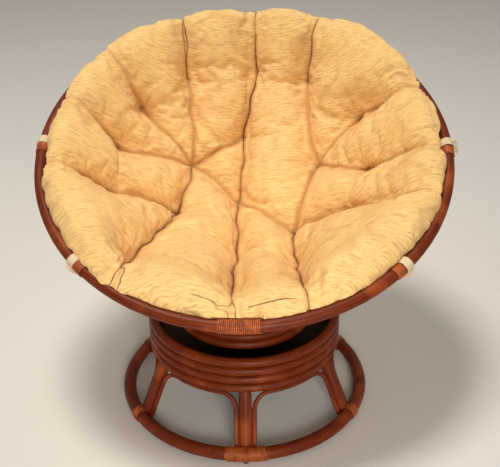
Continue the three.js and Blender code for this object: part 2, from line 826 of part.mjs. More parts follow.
function cushionGeometry() {
  const sections = Array.from({ length: cushionSectors }, (_, i) => {
    const angle = (i / cushionSectors) * 2 * Math.PI - Math.PI;
    return { angle, points: pickRows(sewnSection(angle)) };
  });
  const rows = sections[0].points.length;
  const corners = [];
  const top = sections[0].points[0];
  const under = sections[0].points[rows - 1];
  corners.push(new THREE.Vector3(0, 0, top.y - sphereToRimPlane));
  for (const { angle, points } of sections) {
    for (const point of points.slice(1, -1)) {
      corners.push(polar(point.x, angle, point.y - sphereToRimPlane));
    }
  }
  corners.push(new THREE.Vector3(0, 0, under.y - sphereToRimPlane));
  const ringRows = rows - 2;
  const lastCorner = corners.length - 1;
  const at = (sector, row) => 1 + (sector % cushionSectors) * ringRows + row;
  const index = [];
  for (let i = 0; i < cushionSectors; i += 1) {
    index.push(0, at(i, 0), at(i + 1, 0));
    for (let row = 0; row < ringRows - 1; row += 1) {
      index.push(at(i, row), at(i, row + 1), at(i + 1, row + 1));
      index.push(at(i, row), at(i + 1, row + 1), at(i + 1, row));
    }
    index.push(at(i, ringRows - 1), lastCorner, at(i + 1, ringRows - 1));
  }
  const geometry = new THREE.BufferGeometry().setFromPoints(corners);
  geometry.setIndex(index);
  geometry.computeVertexNormals();
  return geometry;
}

// Assembly
function addRound(parent, count, startAngle, make) {
  for (let i = 0; i < count; i += 1) {
    const mesh = make(i);
    mesh.rotation.z = startAngle + (i / count) * 2 * Math.PI;
    parent.add(mesh);
  }
}

function addStack(parent, count, lowest, pitch, make) {
  for (let i = 0; i < count; i += 1) {
    const mesh = make(i);
    mesh.position.z = lowest + i * pitch;
    parent.add(mesh);
  }
}

function buildBase() {
  const base = new THREE.Group();
  const stand = new THREE.Group();
  stand.rotation.z = standTurn;
  base.add(stand);
  const ring = ringGeometry(footRingRadius, footPoleRadius, poleSides, footRingSteps);
  const footMesh = namedMesh('foot_ring', ring, rattan);
  footMesh.position.z = footCentreHeight;
  stand.add(footMesh);
  const post = postGeometry();
  const splice = footBindingGeometry(footSpliceWidth);
  const binding = footBindingGeometry(footBindingWidth);
  const glide = glideGeometry();
  addRound(stand, postCount, 0, (i) => namedMesh(`post_${i + 1}`, post, rattan));
  addRound(stand, postCount, archHalfAngle, (i) => (
    namedMesh(`arch_brace_${i + 1}`, archGeometry(i), rattan)));
  addRound(stand, postCount, 0, (i) => (
    namedMesh(`foot_binding_${i + 1}`, i === 0 ? splice : binding, cane)));
  addRound(stand, postCount, 0, (i) => namedMesh(`glide_${i + 1}`, glide, rubber));
  const drumRing = ringGeometry(drumRingRadius, drumPoleRadius, slimSides, drumRingSteps);
  drumRing.rotateZ(Math.PI / drumRingSteps);
  addStack(base, drumRingCount, drumLowestHeight, drumPitch, (i) => (
    namedMesh(`drum_ring_${i + 1}`, drumRing, rattan)));
  base.add(namedMesh('mounting_board', mountingBoardGeometry(), plywood));
  base.add(namedMesh('base_plate', plateGeometry(basePlateSide, basePlateSide, basePlateBottom), steel));
  base.add(namedMesh('swivel_bearing', bearingGeometry(), steel));
  return base;
}

function buildTurntable() {
  const turntable = new THREE.Group();
  turntable.add(namedMesh('turntable_bracket', turntableGeometry(), steel));
  turntable.add(namedMesh('pivot_pin', pivotPinGeometry(), springSteel));
  const spring = springGeometry();
  for (const [end, y] of [['front', -1], ['rear', 1]]) {
    for (const [side, x] of [['left', -1], ['right', 1]]) {
      const mesh = namedMesh(`spring_${end}_${side}`, spring, springSteel);
      mesh.position.set(x * springAcross, y * springAlong, 0);
      turntable.add(mesh);
    }
  }
  return turntable;
}

function buildCradle() {
  const cradle = new THREE.Group();
  cradle.add(namedMesh('top_bracket', topBracketGeometry(), steel));
  const board = discGeometry(cradleBoardRadius, cradleBoardBottom, cradleBoardThickness);
  cradle.add(namedMesh('cradle_board', board, plywood));
  const ring = ringGeometry(cradleRingRadius, cradlePoleRadius, poleSides, cradleRingSteps);
  addStack(cradle, cradleRingCount, cradleLowestHeight, cradlePitch, (i) => (
    namedMesh(`cradle_ring_${i + 1}`, ring, rattan)));
  return cradle;
}

function buildBowl() {
  const bowl = new THREE.Group();
  bowl.position.z = sphereHeight;
  bowl.rotation.x = bowlTilt;
  bowl.add(namedMesh('rim', rimGeometry(), rattan));
  bowl.add(namedMesh('rim_splice_binding', spliceBindingGeometry(), cane));
  const rib = ribGeometry();
  addRound(bowl, ribCount, 0, (i) => namedMesh(`rib_${i + 1}`, rib, rattan));
  bowl.add(namedMesh('mid_ring', midRingGeometry(), rattan));
  bowl.add(namedMesh('bottom_ring', bottomRingGeometry(), rattan));
  bowl.add(namedMesh('cushion', cushionGeometry(), cloth));
  tieAngles.forEach((degrees, i) => {
    const tie = tieGeometry(THREE.MathUtils.degToRad(degrees));
    bowl.add(namedMesh(`cushion_tie_${i + 1}`, tie, tieCloth));
  });
  return bowl;
}

console.log(`Least gap between the turns of a spring: ${leastSpringGap().toFixed(2)} mm`);

const chair = new THREE.Group();
chair.add(buildBase(), buildTurntable(), buildCradle(), buildBowl());

// The origin is on the floor under the middle of the chair's outline
chair.updateMatrixWorld(true);
const outline = new THREE.Box3().setFromObject(chair, true);
const middle = outline.getCenter(new THREE.Vector3());
chair.position.set(-middle.x, -middle.y, -outline.min.z);

export default chair;
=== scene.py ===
import json
from math import atan2, cos, exp, pi, radians, sin, sqrt

import bmesh
import bpy
import numpy as np
from mathutils import Matrix, Vector, noise


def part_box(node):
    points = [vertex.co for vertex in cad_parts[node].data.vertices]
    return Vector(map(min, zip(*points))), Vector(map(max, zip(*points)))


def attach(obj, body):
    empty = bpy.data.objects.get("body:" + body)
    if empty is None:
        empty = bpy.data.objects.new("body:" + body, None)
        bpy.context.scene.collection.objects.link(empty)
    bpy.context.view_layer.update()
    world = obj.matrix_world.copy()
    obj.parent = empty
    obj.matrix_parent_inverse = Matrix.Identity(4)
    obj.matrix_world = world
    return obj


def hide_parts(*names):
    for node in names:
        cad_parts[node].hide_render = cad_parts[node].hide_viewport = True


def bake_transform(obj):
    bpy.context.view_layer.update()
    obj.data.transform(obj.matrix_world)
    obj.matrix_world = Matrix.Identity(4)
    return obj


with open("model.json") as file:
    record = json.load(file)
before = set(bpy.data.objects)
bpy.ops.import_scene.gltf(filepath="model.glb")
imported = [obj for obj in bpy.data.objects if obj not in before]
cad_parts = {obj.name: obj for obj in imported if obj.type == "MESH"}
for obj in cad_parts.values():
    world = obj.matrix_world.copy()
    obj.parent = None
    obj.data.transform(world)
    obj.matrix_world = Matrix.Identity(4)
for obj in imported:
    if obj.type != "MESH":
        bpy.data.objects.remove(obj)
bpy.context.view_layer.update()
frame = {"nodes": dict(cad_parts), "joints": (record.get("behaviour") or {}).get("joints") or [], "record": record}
nodes = frame["nodes"]
joints = {joint["name"]: joint for joint in frame["joints"]}
print("frame loaded:", len(nodes), "nodes")

# Places that the frame gives, in metres
swivelAxis = Vector(joints["swivel"]["pos_m"])
bowlCentre = Vector(joints["bowl_tilt"]["pos_m"])
bowlTilt = radians(25.5)
baseTwist = radians(2.6)
bowlTurn = Matrix.Translation(bowlCentre) @ Matrix.Rotation(bowlTilt, 4, "X")
axisTurn = Matrix.Translation((swivelAxis.x, swivelAxis.y, 0))
standTurn = axisTurn @ Matrix.Rotation(baseTwist, 4, "Z")


def inScene(thing):
    bpy.context.scene.collection.objects.link(thing)
    return thing


# camera and light

# focal length and shift are in pixels of the photograph, which is imageWidth wide
cameraSettings = {
    "place": (0.08925, -2.0811, 1.5447),
    "yaw": radians(-1.978),
    "pitch": radians(28.33),
    "roll": radians(-0.356),
    "focalPixels": 882.65,
    "shiftPixels": (-1.2, 3.59),
    "imageWidth": 500,
    "sensorWidth": 36,
    "farthest": 50,
}


def makeCamera(settings):
    yaw, pitch = settings["yaw"], settings["pitch"]
    ahead = Vector((sin(yaw) * cos(pitch), cos(yaw) * cos(pitch), -sin(pitch)))
    level = Vector((cos(yaw), -sin(yaw), 0))
    upright = level.cross(ahead)
    roll = settings["roll"]
    right = level * cos(roll) + upright * sin(roll)
    up = upright * cos(roll) - level * sin(roll)
    turn = Matrix((right, up, -ahead)).transposed().to_4x4()
    data = bpy.data.cameras.new("camera")
    data.sensor_width = settings["sensorWidth"]
    data.lens = settings["focalPixels"] / settings["imageWidth"] * settings["sensorWidth"]
    data.shift_x = settings["shiftPixels"][0] / settings["imageWidth"]
    data.shift_y = settings["shiftPixels"][1] / settings["imageWidth"]
    data.clip_end = settings["farthest"]
    camera = inScene(bpy.data.objects.new("camera", data))
    camera.matrix_world = Matrix.Translation(settings["place"]) @ turn
    bpy.context.scene.camera = camera


# size in metres, energy in watts and spread in degrees
lampSettings = {
    "keyLamp": {"place": (-0.7, -0.25, 5.2), "aim": (0, 0, 0.5), "size": 1.4, "energy": 158,
                "spread": 180, "colour": (1.0, 0.94, 0.86)},
    "fillLamp": {"place": (0.5, -3.2, 1.3), "aim": (0, -0.2, 0.1), "size": 1.2, "energy": 4.6,
                 "spread": 44, "colour": (1.0, 0.94, 0.86)},
    "rimLamp": {"place": (0.6, 2.0, 3.2), "aim": (0, 0, 0.6), "size": 2.0, "energy": 6,
                "spread": 180, "colour": (1.0, 0.96, 0.9)},
}
worldSettings = {"colour": (0.98, 0.93, 0.86, 1), "strength": 0.27}


def makeLamps():
    for name, settings in lampSettings.items():
        data = bpy.data.lights.new(name, "AREA")
        data.shape = "DISK"
        data.size = settings["size"]
        data.energy = settings["energy"]
        data.spread = radians(settings["spread"])
        data.color = settings["colour"]
        lamp = inScene(bpy.data.objects.new(name, data))
        ahead = Vector(settings["aim"]) - Vector(settings["place"])
        turn = ahead.to_track_quat("-Z", "Y").to_matrix().to_4x4()
        lamp.matrix_world = Matrix.Translation(settings["place"]) @ turn
    world = bpy.data.worlds.new("studio")
    world.use_nodes = True
    background = world.node_tree.nodes["Background"]
    background.inputs["Color"].default_value = worldSettings["colour"]
    background.inputs["Strength"].default_value = worldSettings["strength"]
    bpy.context.scene.world = world


# shader maths

class Wire:
    # a socket that sums and products can be written with

    def __init__(self, tree, socket):
        self.tree = tree
        self.socket = socket

    def maths(self, operation, *values):
        node = self.tree.nodes.new("ShaderNodeMath")
        node.operation = operation
        for entry, value in zip(node.inputs, values):
            feed(self.tree, entry, value)
        return Wire(self.tree, node.outputs[0])

    def __add__(self, other):
        return self.maths("ADD", self, other)

    def __sub__(self, other):
        return self.maths("SUBTRACT", self, other)

    def __rsub__(self, other):
        return self.maths("SUBTRACT", other, self)

    def __mul__(self, other):
        return self.maths("MULTIPLY", self, other)

    def __truediv__(self, other):
        return self.maths("DIVIDE", self, other)

    __radd__ = __add__

    def sine(self):
        return self.maths("SINE", self)

    def size(self):
        return self.maths("ABSOLUTE", self)

    def most(self, other):
        return self.maths("MAXIMUM", self, other)

    def step(self, low, high):
        # 0 below low, 1 above high, smooth between
        node = self.tree.nodes.new("ShaderNodeMapRange")
        node.interpolation_type = "SMOOTHSTEP"
        feed(self.tree, node.inputs["Value"], self)
        node.inputs["From Min"].default_value = low
        node.inputs["From Max"].default_value = high
        return Wire(self.tree, node.outputs["Result"])


def feed(tree, entry, value):
    if isinstance(value, Wire):
        tree.links.new(value.socket, entry)
    else:
        entry.default_value = value


class Finish:
    # one material and its nodes

    def __init__(self, name):
        self.material = bpy.data.materials.new(name)
        self.material.use_nodes = True
        self.tree = self.material.node_tree
        self.shader = self.tree.nodes["Principled BSDF"]

    def node(self, kind, settings=None, inputs=None, output=0):
        node = self.tree.nodes.new(kind)
        for name, value in (settings or {}).items():
            setattr(node, name, value)
        for name, value in (inputs or {}).items():
            feed(self.tree, node.inputs[name], value)
        return Wire(self.tree, node.outputs[output])

    def place(self):
        return self.node("ShaderNodeTexCoord", output="Object")

    def mapped(self, name):
        return self.node("ShaderNodeUVMap", {"uv_map": name})

    def attribute(self, name):
        return self.node("ShaderNodeAttribute", {"attribute_name": name}, output="Vector")

    def flat(self, x, y):
        return self.node("ShaderNodeCombineXYZ", {}, {0: x, 1: y, 2: 0.0})

    def split(self, vector):
        node = self.tree.nodes.new("ShaderNodeSeparateXYZ")
        feed(self.tree, node.inputs[0], vector)
        return [Wire(self.tree, output) for output in node.outputs]

    def stretched(self, vector, scale):
        return self.node("ShaderNodeVectorMath", {"operation": "MULTIPLY"}, {0: vector, 1: scale})

    def clouds(self, vector, scale, detail, roughness=0.55):
        return self.node("ShaderNodeTexNoise", {}, {
            "Vector": vector, "Scale": scale, "Detail": detail, "Roughness": roughness})

    def mixed(self, share, first, second):
        # the colour sockets of the mix node are 6 and 7, and 2 on its way out
        return self.node("ShaderNodeMix", {"data_type": "RGBA"}, {0: share, 6: first, 7: second}, 2)

    def bump(self, height, distance, strength):
        return self.node("ShaderNodeBump", {}, {
            "Distance": distance, "Strength": strength, "Height": height})

    def set(self, **values):
        names = {"colour": "Base Color", "roughness": "Roughness", "metallic": "Metallic",
                 "coat": "Coat Weight", "coatRoughness": "Coat Roughness", "normal": "Normal",
                 "sheen": "Sheen Weight", "sheenRoughness": "Sheen Roughness",
                 "specular": "Specular IOR Level"}
        for key, value in values.items():
            feed(self.tree, self.shader.inputs[names[key]], value)
        return self.material


def tone(red, green, blue):
    # a screen colour, 0 to 255, as the linear colour that a shader wants
    def linear(value):
        share = value / 255
        return share / 12.92 if share <= 0.04045 else ((share + 0.055) / 1.055) ** 2.4
    return (linear(red), linear(green), linear(blue), 1.0)


# finishes

rattanLook = {
    "dark": tone(74, 22, 6),
    "mid": tone(134, 52, 15),
    "light": tone(172, 84, 34),
    "node": tone(42, 14, 5), "nodeSpacing": 0.27, "nodeWidth": 0.0035, "nodeShare": 0.22,
    "wornShare": 0.55,
    "fibreAcross": 900, "fibreAlong": 14,
    "patchScale": 9.0,
    "wander": 0.05,
    "roughness": 0.36,
    "bump": 0.0006,
}


def rattanFinish():
    # u runs round the pole and v along it, both in metres
    finish = Finish("lacqueredRattan")
    look = rattanLook
    u, v, _ = finish.split(finish.mapped("poleMap"))
    flat = finish.flat(u * look["fibreAcross"], v * look["fibreAlong"])
    fibre = finish.clouds(flat, 1.0, 4.0, 0.6)
    patch = finish.clouds(finish.place(), look["patchScale"], 2.0)
    wander = (patch - 0.5) * look["wander"]
    along = (v + wander) / look["nodeSpacing"]
    toNode = (along - along.maths("ROUND", along)).size() * look["nodeSpacing"]
    ring = 1 - toNode.step(look["nodeWidth"] * 0.4, look["nodeWidth"] * 1.6)
    body = finish.mixed(fibre.step(0.3, 0.72), look["dark"], look["mid"])
    worn = finish.mixed(patch.step(0.52, 0.72) * look["wornShare"], body, look["light"])
    colour = finish.mixed(ring * look["nodeShare"], worn, look["node"])
    height = fibre * 0.35 - ring * 0.3
    return finish.set(colour=colour, roughness=look["roughness"] + fibre * 0.2, specular=0.18,
                      coat=0.06, coatRoughness=0.24, normal=finish.bump(height, look["bump"], 0.7))


caneLook = {
    "dark": tone(92, 34, 8),
    "light": tone(212, 104, 32),
    "fibreAcross": 1500, "fibreAlong": 30,
    "patchScale": 60.0,
    "roughness": 0.34,
    "bump": 0.0003,
}


def caneFinish():
    finish = Finish("boundCane")
    look = caneLook
    u, v, _ = finish.split(finish.mapped("poleMap"))
    flat = finish.flat(u * look["fibreAcross"], v * look["fibreAlong"])
    fibre = finish.clouds(flat, 1.0, 3.0, 0.6)
    patch = finish.clouds(finish.place(), look["patchScale"], 2.0)
    colour = finish.mixed((fibre * 0.6 + patch * 0.5).step(0.3, 0.8), look["dark"], look["light"])
    return finish.set(colour=colour, roughness=look["roughness"] + fibre * 0.2, coat=0.1,
                      coatRoughness=0.2, normal=finish.bump(fibre, look["bump"], 0.5))


clothLook = {
    "thread": tone(249, 208, 138),
    "shade": tone(200, 148, 84),
    "light": tone(252, 218, 156),
    # painted shade in soft folds, along seams and at pinches and wrinkles
    "fold": tone(192, 134, 72),
    # painted shade in tuft dimples and seam grooves, also the dark of the stitching itself
    "crease": tone(98, 58, 24),
    "ribPitch": 0.0092,
    "weavePitch": 0.0021,
    "strip": 0.0092,
    "slubScale": (30, 340, 30),
    "speckScale": (90, 420, 90),
    "driftScale": (14, 60, 14), "drift": 0.003,
    "seamShare": 0.86, "seamHeight": 2.4,
    "bump": 0.0011,
}


def clothFinish():
    # clothPlace: x along the ribs and y across them; seamPlace: signed and plain distance to
    # the nearest sewn seam, and how plainly it shows; foldPlace: shares of shade at tufts and
    # in folds, and where a seam is sewn twice
    finish = Finish("slubCloth")
    look = clothLook
    flat = finish.attribute("clothPlace")
    x, y, _ = finish.split(flat)
    slub = finish.clouds(finish.stretched(flat, look["slubScale"]), 1.0, 3.0, 0.6)
    speck = finish.clouds(finish.stretched(flat, look["speckScale"]), 1.0, 2.0)
    drift = finish.clouds(finish.stretched(flat, look["driftScale"]), 1.0, 2.0)
    rib = ((y + (drift - 0.5) * look["drift"]) * (2 * pi / look["ribPitch"])).sine() * 0.5 + 0.5
    cross = (x * (2 * pi / look["weavePitch"])).sine() * 0.5 + 0.5
    soil = finish.clouds(flat, 7.0, 3.0)
    signed, near, shown = finish.split(finish.attribute("seamPlace"))
    # tuft and fold are shares of painted shade; doubled marks where a seam is sewn twice
    tuft, fold, doubled = finish.split(finish.attribute("foldPlace"))
    strip = doubled * look["strip"] + 0.0002
    line = 1 - (signed.size() - strip).size().step(0.0005, 0.0022)
    strength = (finish.clouds(finish.place(), 21.0, 2.0).step(0.3, 0.62) * 0.55 + 0.45) * shown
    seam = line * (1 - near.step(0.013, 0.018)) * strength
    streak = (1 - slub.step(0.38, 0.54)) * 0.62 + (1 - speck.step(0.34, 0.48)) * 0.2
    warm = finish.mixed(streak, look["thread"], look["shade"])
    ribbed = finish.mixed(rib * 0.2, warm, look["light"])
    soiled = finish.mixed(soil.step(0.45, 0.8) * 0.25, ribbed, look["shade"])
    # painted shade: darker colour in folds, pinches and wrinkles
    foldShaded = finish.mixed(fold, soiled, look["fold"])
    # seam lines and firm tufts take the dark colour: painted shade in their grooves and dimples, and on seams the
    # stitching's own dark
    colour = finish.mixed((seam * look["seamShare"]).most(tuft), foldShaded, look["crease"])
    height = rib * 0.12 + slub * 0.5 + cross * 0.1 - seam * look["seamHeight"]
    return finish.set(colour=colour, roughness=0.9, specular=0.2, sheen=0.12, sheenRoughness=0.5,
                      normal=finish.bump(height, look["bump"], 0.7))


tieClothLook = {"dark": tone(206, 180, 142), "light": tone(238, 220, 188),
                "grainScale": (700, 700, 180), "detail": (2.0, 0.55), "roughness": 0.92,
                "specular": 0.2, "bump": (0.0006, 0.6)}
# the board's near-black colour is painted shade, standing for the shadow under the bowl
shadedPlywoodLook = {"dark": tone(40, 26, 18), "light": tone(58, 38, 26),
               "grainScale": (6, 90, 90), "detail": (4.0, 0.6), "roughness": 0.62,
               "specular": 0.5, "bump": (0.0004, 0.5)}
rubberLook = {"dark": tone(46, 30, 22), "light": tone(70, 48, 36),
              "grainScale": 600.0, "roughness": 0.8, "bump": 0.0003}
blackSteelLook = {"dark": tone(24, 24, 26), "light": tone(44, 43, 44),
                  "roughness": 0.4, "metallic": 0.3}
springSteelLook = {"dark": tone(120, 122, 126), "light": tone(164, 165, 168),
                   "roughness": 0.28, "metallic": 1.0}


def grainFinish(name, look):
    # cloth or wood whose grain is the same noise, stretched
    finish = Finish(name)
    grain = finish.clouds(finish.stretched(finish.place(), look["grainScale"]), 1.0, *look["detail"])
    colour = finish.mixed(grain.step(0.3, 0.7), look["dark"], look["light"])
    return finish.set(colour=colour, roughness=look["roughness"], specular=look["specular"],
                      normal=finish.bump(grain, *look["bump"]))


def steelFinish(name, look):
    finish = Finish(name)
    grain = finish.clouds(finish.place(), 220.0, 2.0)
    smear = finish.clouds(finish.place(), 18.0, 3.0)
    colour = finish.mixed(smear.step(0.35, 0.7), look["dark"], look["light"])
    return finish.set(colour=colour, roughness=look["roughness"] + smear * 0.15,
                      metallic=look["metallic"], normal=finish.bump(grain, 0.0001, 0.4))


def rubberFinish():
    finish = Finish("gliderRubber")
    look = rubberLook
    grain = finish.clouds(finish.place(), look["grainScale"], 2.0)
    colour = finish.mixed(grain, look["dark"], look["light"])
    return finish.set(colour=colour, roughness=look["roughness"],
                      normal=finish.bump(grain, look["bump"], 0.5))


finishes = {
    "rattan": rattanFinish(),
    "cane": caneFinish(),
    "cushion_cloth": clothFinish(),
    "tie_cloth": grainFinish("tieCloth", tieClothLook),
    "plywood": grainFinish("plywood", shadedPlywoodLook),
    "black_steel": steelFinish("blackSteel", blackSteelLook),
    "spring_steel": steelFinish("springSteel", springSteelLook),
    "rubber": rubberFinish(),
}
for part in frame["record"]["subparts"]:
    held = nodes[part["node"]].data
    held.materials.clear()
    held.materials.append(finishes[part["material_slot"]])
print("finishes made")


# making and placing

def addPiece(name, mesh, body, slot, replaced=()):
    mesh.materials.clear()
    mesh.materials.append(finishes[slot])
    piece = inScene(bpy.data.objects.new(name, mesh))
    if body:
        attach(piece, body)
    if replaced:
        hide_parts(*replaced)
    return piece


def meshFrom(bm, name, smooth=True):
    mesh = bpy.data.meshes.new(name)
    bm.to_mesh(mesh)
    bm.free()
    mesh.polygons.foreach_set("use_smooth", [smooth] * len(mesh.polygons))
    return mesh


def stationAt(point, along, outward):
    # a matrix at point, with z along the pole and x outward
    along = along.normalized()
    outward = (outward - along * outward.dot(along)).normalized()
    third = along.cross(outward)
    turn = Matrix((outward, third, along)).transposed().to_4x4()
    return Matrix.Translation(point) @ turn


def sweep(bm, stations, widths, sides, closed):
    # pulls a round section along the stations; widths are (outward, across) half sizes
    uvLayer = bm.loops.layers.uv.verify()
    placed = [station @ Matrix.Diagonal((wide[0], wide[1], 1, 1))
              for station, wide in zip(stations, widths)]
    ring = bmesh.ops.create_circle(bm, segments=sides, radius=1)["verts"]
    bmesh.ops.transform(bm, matrix=placed[0], verts=ring)
    edges = list(dict.fromkeys(edge for vert in ring for edge in vert.link_edges))
    side = {vert: i for i, vert in enumerate(ring)}
    firstEdges = edges
    travelled = 0.0
    for i in range(1, len(placed)):
        made = bmesh.ops.extrude_edge_only(bm, edges=edges)["geom"]
        fresh = {item for item in made if isinstance(item, bmesh.types.BMVert)}
        for vert in fresh:
            for edge in vert.link_edges:
                partner = edge.other_vert(vert)
                if partner not in fresh:
                    side[vert] = side[partner]
        edges = [item for item in made if isinstance(item, bmesh.types.BMEdge)
                 and item.verts[0] in fresh and item.verts[1] in fresh]
        bmesh.ops.transform(bm, matrix=placed[i] @ placed[i - 1].inverted(), verts=list(fresh))
        ahead = (stations[i].translation - stations[i - 1].translation).length
        girth = 2 * pi * sqrt((widths[i][0] ** 2 + widths[i][1] ** 2) / 2)
        for face in (item for item in made if isinstance(item, bmesh.types.BMFace)):
            around = {side[vert] for vert in face.verts}
            wraps = 0 in around and sides - 1 in around
            for loop in face.loops:
                turned = sides if wraps and side[loop.vert] == 0 else side[loop.vert]
                reach = travelled + (ahead if loop.vert in fresh else 0)
                loop[uvLayer].uv = (turned / sides * girth, reach)
        travelled += ahead
    if closed:
        bmesh.ops.remove_doubles(bm, verts=bm.verts, dist=1e-6)
    else:
        bmesh.ops.holes_fill(bm, edges=firstEdges + edges)


def poleMesh(name, stations, widths, sides=14, closed=False):
    bm = bmesh.new()
    bm.loops.layers.uv.new("poleMap")
    sweep(bm, stations, widths, sides, closed)
    bmesh.ops.recalc_face_normals(bm, faces=bm.faces)
    return meshFrom(bm, name)


poleLook = {
    "stepLength": 0.009,
    "knotSwell": 0.03, "knotWidth": 0.006,
    "waver": 0.018, "waverScale": 9,
    "endShares": ((0, 0.86), (1, 0.97), (-1, 0.86), (-2, 0.97)),
}


def poleWidths(stations, radius, seed, ends=False):
    # slow waver and a slight swelling at each growth knot; open ends are rounded off
    widths = []
    travelled = 0.0
    spacing = rattanLook["nodeSpacing"]
    for i, station in enumerate(stations):
        if i:
            travelled += (station.translation - stations[i - 1].translation).length
        waverPlace = Vector((travelled * poleLook["waverScale"], seed * 3.7, 0))
        waver = noise.noise(waverPlace) * poleLook["waver"]
        off = (travelled / spacing - round(travelled / spacing)) * spacing
        swell = poleLook["knotSwell"] * exp(-(off / poleLook["knotWidth"]) ** 2)
        width = radius * (1 + waver + swell - poleLook["waver"])
        widths.append((width, width))
    if ends:
        for i, share in poleLook["endShares"]:
            widths[i] = (widths[i][0] * share, widths[i][1] * share)
    return widths


def ringDirections(angle):
    # outward from a ring and along it, at an angle from its front
    return Vector((sin(angle), -cos(angle), 0)), Vector((cos(angle), sin(angle), 0))


def ringStations(turn, radius, rise, startAngle):
    # a full ring whose last station meets the first
    count = round(2 * pi * radius / poleLook["stepLength"])
    stations = []
    for i in range(count + 1):
        angle = startAngle + 2 * pi * (i % count) / count
        outward, along = ringDirections(angle)
        stations.append(turn @ stationAt(outward * radius + Vector((0, 0, rise)), along, outward))
    return stations


def ringPole(node, body, turn, radius, poleRadius, rise, seed):
    name = f"{node}Pole"
    stations = ringStations(turn, radius, rise, seed * 1.1)
    widths = poleWidths(stations[:-1], poleRadius, seed)
    mesh = poleMesh(name, stations, widths + widths[:1], closed=True)
    return addPiece(name, mesh, body, "rattan", [node])


def openPole(node, body, stations, widths, sides):
    name = f"{node}Pole"
    return addPiece(name, poleMesh(name, stations, widths, sides), body, "rattan", [node])


def bowBetween(points, length):
    # even stations along a polyline, with the section carried without twist
    points = [Vector(point) for point in points]
    reach = [0.0]
    for i in range(1, len(points)):
        reach.append(reach[-1] + (points[i] - points[i - 1]).length)
    count = max(int(reach[-1] / length), 4)
    places = []
    k = 0
    for i in range(count + 1):
        want = reach[-1] * i / count
        while k < len(points) - 2 and reach[k + 1] < want:
            k += 1
        share = (want - reach[k]) / (reach[k + 1] - reach[k])
        places.append(points[k].lerp(points[k + 1], share))
    stations = []
    outward = Vector((0, 0, 1)).cross(places[1] - places[0])
    if outward.length < 1e-6:
        outward = Vector((0, 1, 0))
    for i, place in enumerate(places):
        along = places[min(i + 1, count)] - places[max(i - 1, 0)]
        outward = (outward - along * outward.dot(along) / along.length_squared).normalized()
        stations.append(stationAt(place, along, outward))
    return stations


# bowl poles

bowlSizes = {
    "rimRadius": 0.516, "rimPole": 0.015,
    "sag": 0.358,
    "ribPole": 0.010, "ribCount": 8,
    "midRadius": 0.360, "midPole": 0.009,
    "bottomRadius": 0.140, "bottomPole": 0.0118, "bottomStandOff": 0.0006,
    "gap": 0.0003,
    "ribEndGap": 0.0006,
}


def addBowlDrops(sizes):
    # the sphere that the poles lie on, and how far each ring lies below its middle
    sphere = (sizes["rimRadius"] ** 2 + sizes["sag"] ** 2) / (2 * sizes["sag"])
    midSphere = sphere - sizes["ribPole"] - sizes["gap"] - sizes["midPole"]
    bottomSphere = sphere + sizes["ribPole"] + sizes["bottomStandOff"] - sizes["bottomPole"]
    sizes["sphere"] = sphere
    sizes["rimDrop"] = sphere - sizes["sag"]
    sizes["midDrop"] = sqrt(midSphere ** 2 - sizes["midRadius"] ** 2)
    sizes["bottomDrop"] = sqrt(bottomSphere ** 2 - sizes["bottomRadius"] ** 2)


addBowlDrops(bowlSizes)


def makeBowlPoles():
    sizes = bowlSizes
    rings = (("rim", "rimRadius", "rimPole", "rimDrop", 1),
             ("mid_ring", "midRadius", "midPole", "midDrop", 2),
             ("bottom_ring", "bottomRadius", "bottomPole", "bottomDrop", 3))
    for node, radius, pole, drop, seed in rings:
        ringPole(node, "bowl", bowlTurn, sizes[radius], sizes[pole], -sizes[drop], seed)
    rimAngle = atan2(sizes["rimRadius"], sizes["rimDrop"])
    rimClear = (sizes["rimPole"] + sizes["ribEndGap"]) / sizes["sphere"]
    bottomAngle = atan2(sizes["bottomRadius"], sizes["bottomDrop"])
    bottomClear = (sizes["bottomPole"] + sizes["ribEndGap"]) / sizes["sphere"]
    steps = round((rimAngle - bottomAngle) * sizes["sphere"] / poleLook["stepLength"])
    for k in range(sizes["ribCount"]):
        spin = Matrix.Rotation(2 * pi * k / sizes["ribCount"], 4, "Z")
        stations = []
        for i in range(steps + 1):
            share = i / steps
            angle = (rimAngle - rimClear) * (1 - share) + (bottomAngle + bottomClear) * share
            outward = Vector((0, -sin(angle), -cos(angle)))
            along = Vector((0, cos(angle), -sin(angle)))
            stations.append(bowlTurn @ spin @ stationAt(outward * sizes["sphere"], along, outward))
        widths = poleWidths(stations, sizes["ribPole"], 10 + k)
        openPole(f"rib_{k + 1}", "bowl", stations, widths, 12)


# base poles

baseSizes = {
    "footRadius": 0.320, "footPole": 0.017, "footRise": 0.0228,
    "drumRadius": 0.244, "drumPole": 0.0123, "drumLowest": 0.1721, "drumPitch": 0.0249,
    "drumCount": 4,
    "postCount": 6, "postPole": 0.0165, "postFootRadius": 0.300, "postEnd": 0.166,
    "archPole": 0.006, "archTop": 0.1535, "archBend": 0.040, "archGap": 0.0003,
    "archStep": 0.007, "archSteps": 6,
    "cradleRadius": 0.170, "cradlePole": 0.0114, "cradleCount": 3,
}


def coneRadius(rise):
    # posts and arches stand on one cone, from the foot ring up to the drum
    sizes = baseSizes
    climb = (rise - sizes["footRise"]) / (sizes["archTop"] - sizes["footRise"])
    return sizes["postFootRadius"] * (1 - climb) + sizes["drumRadius"] * climb


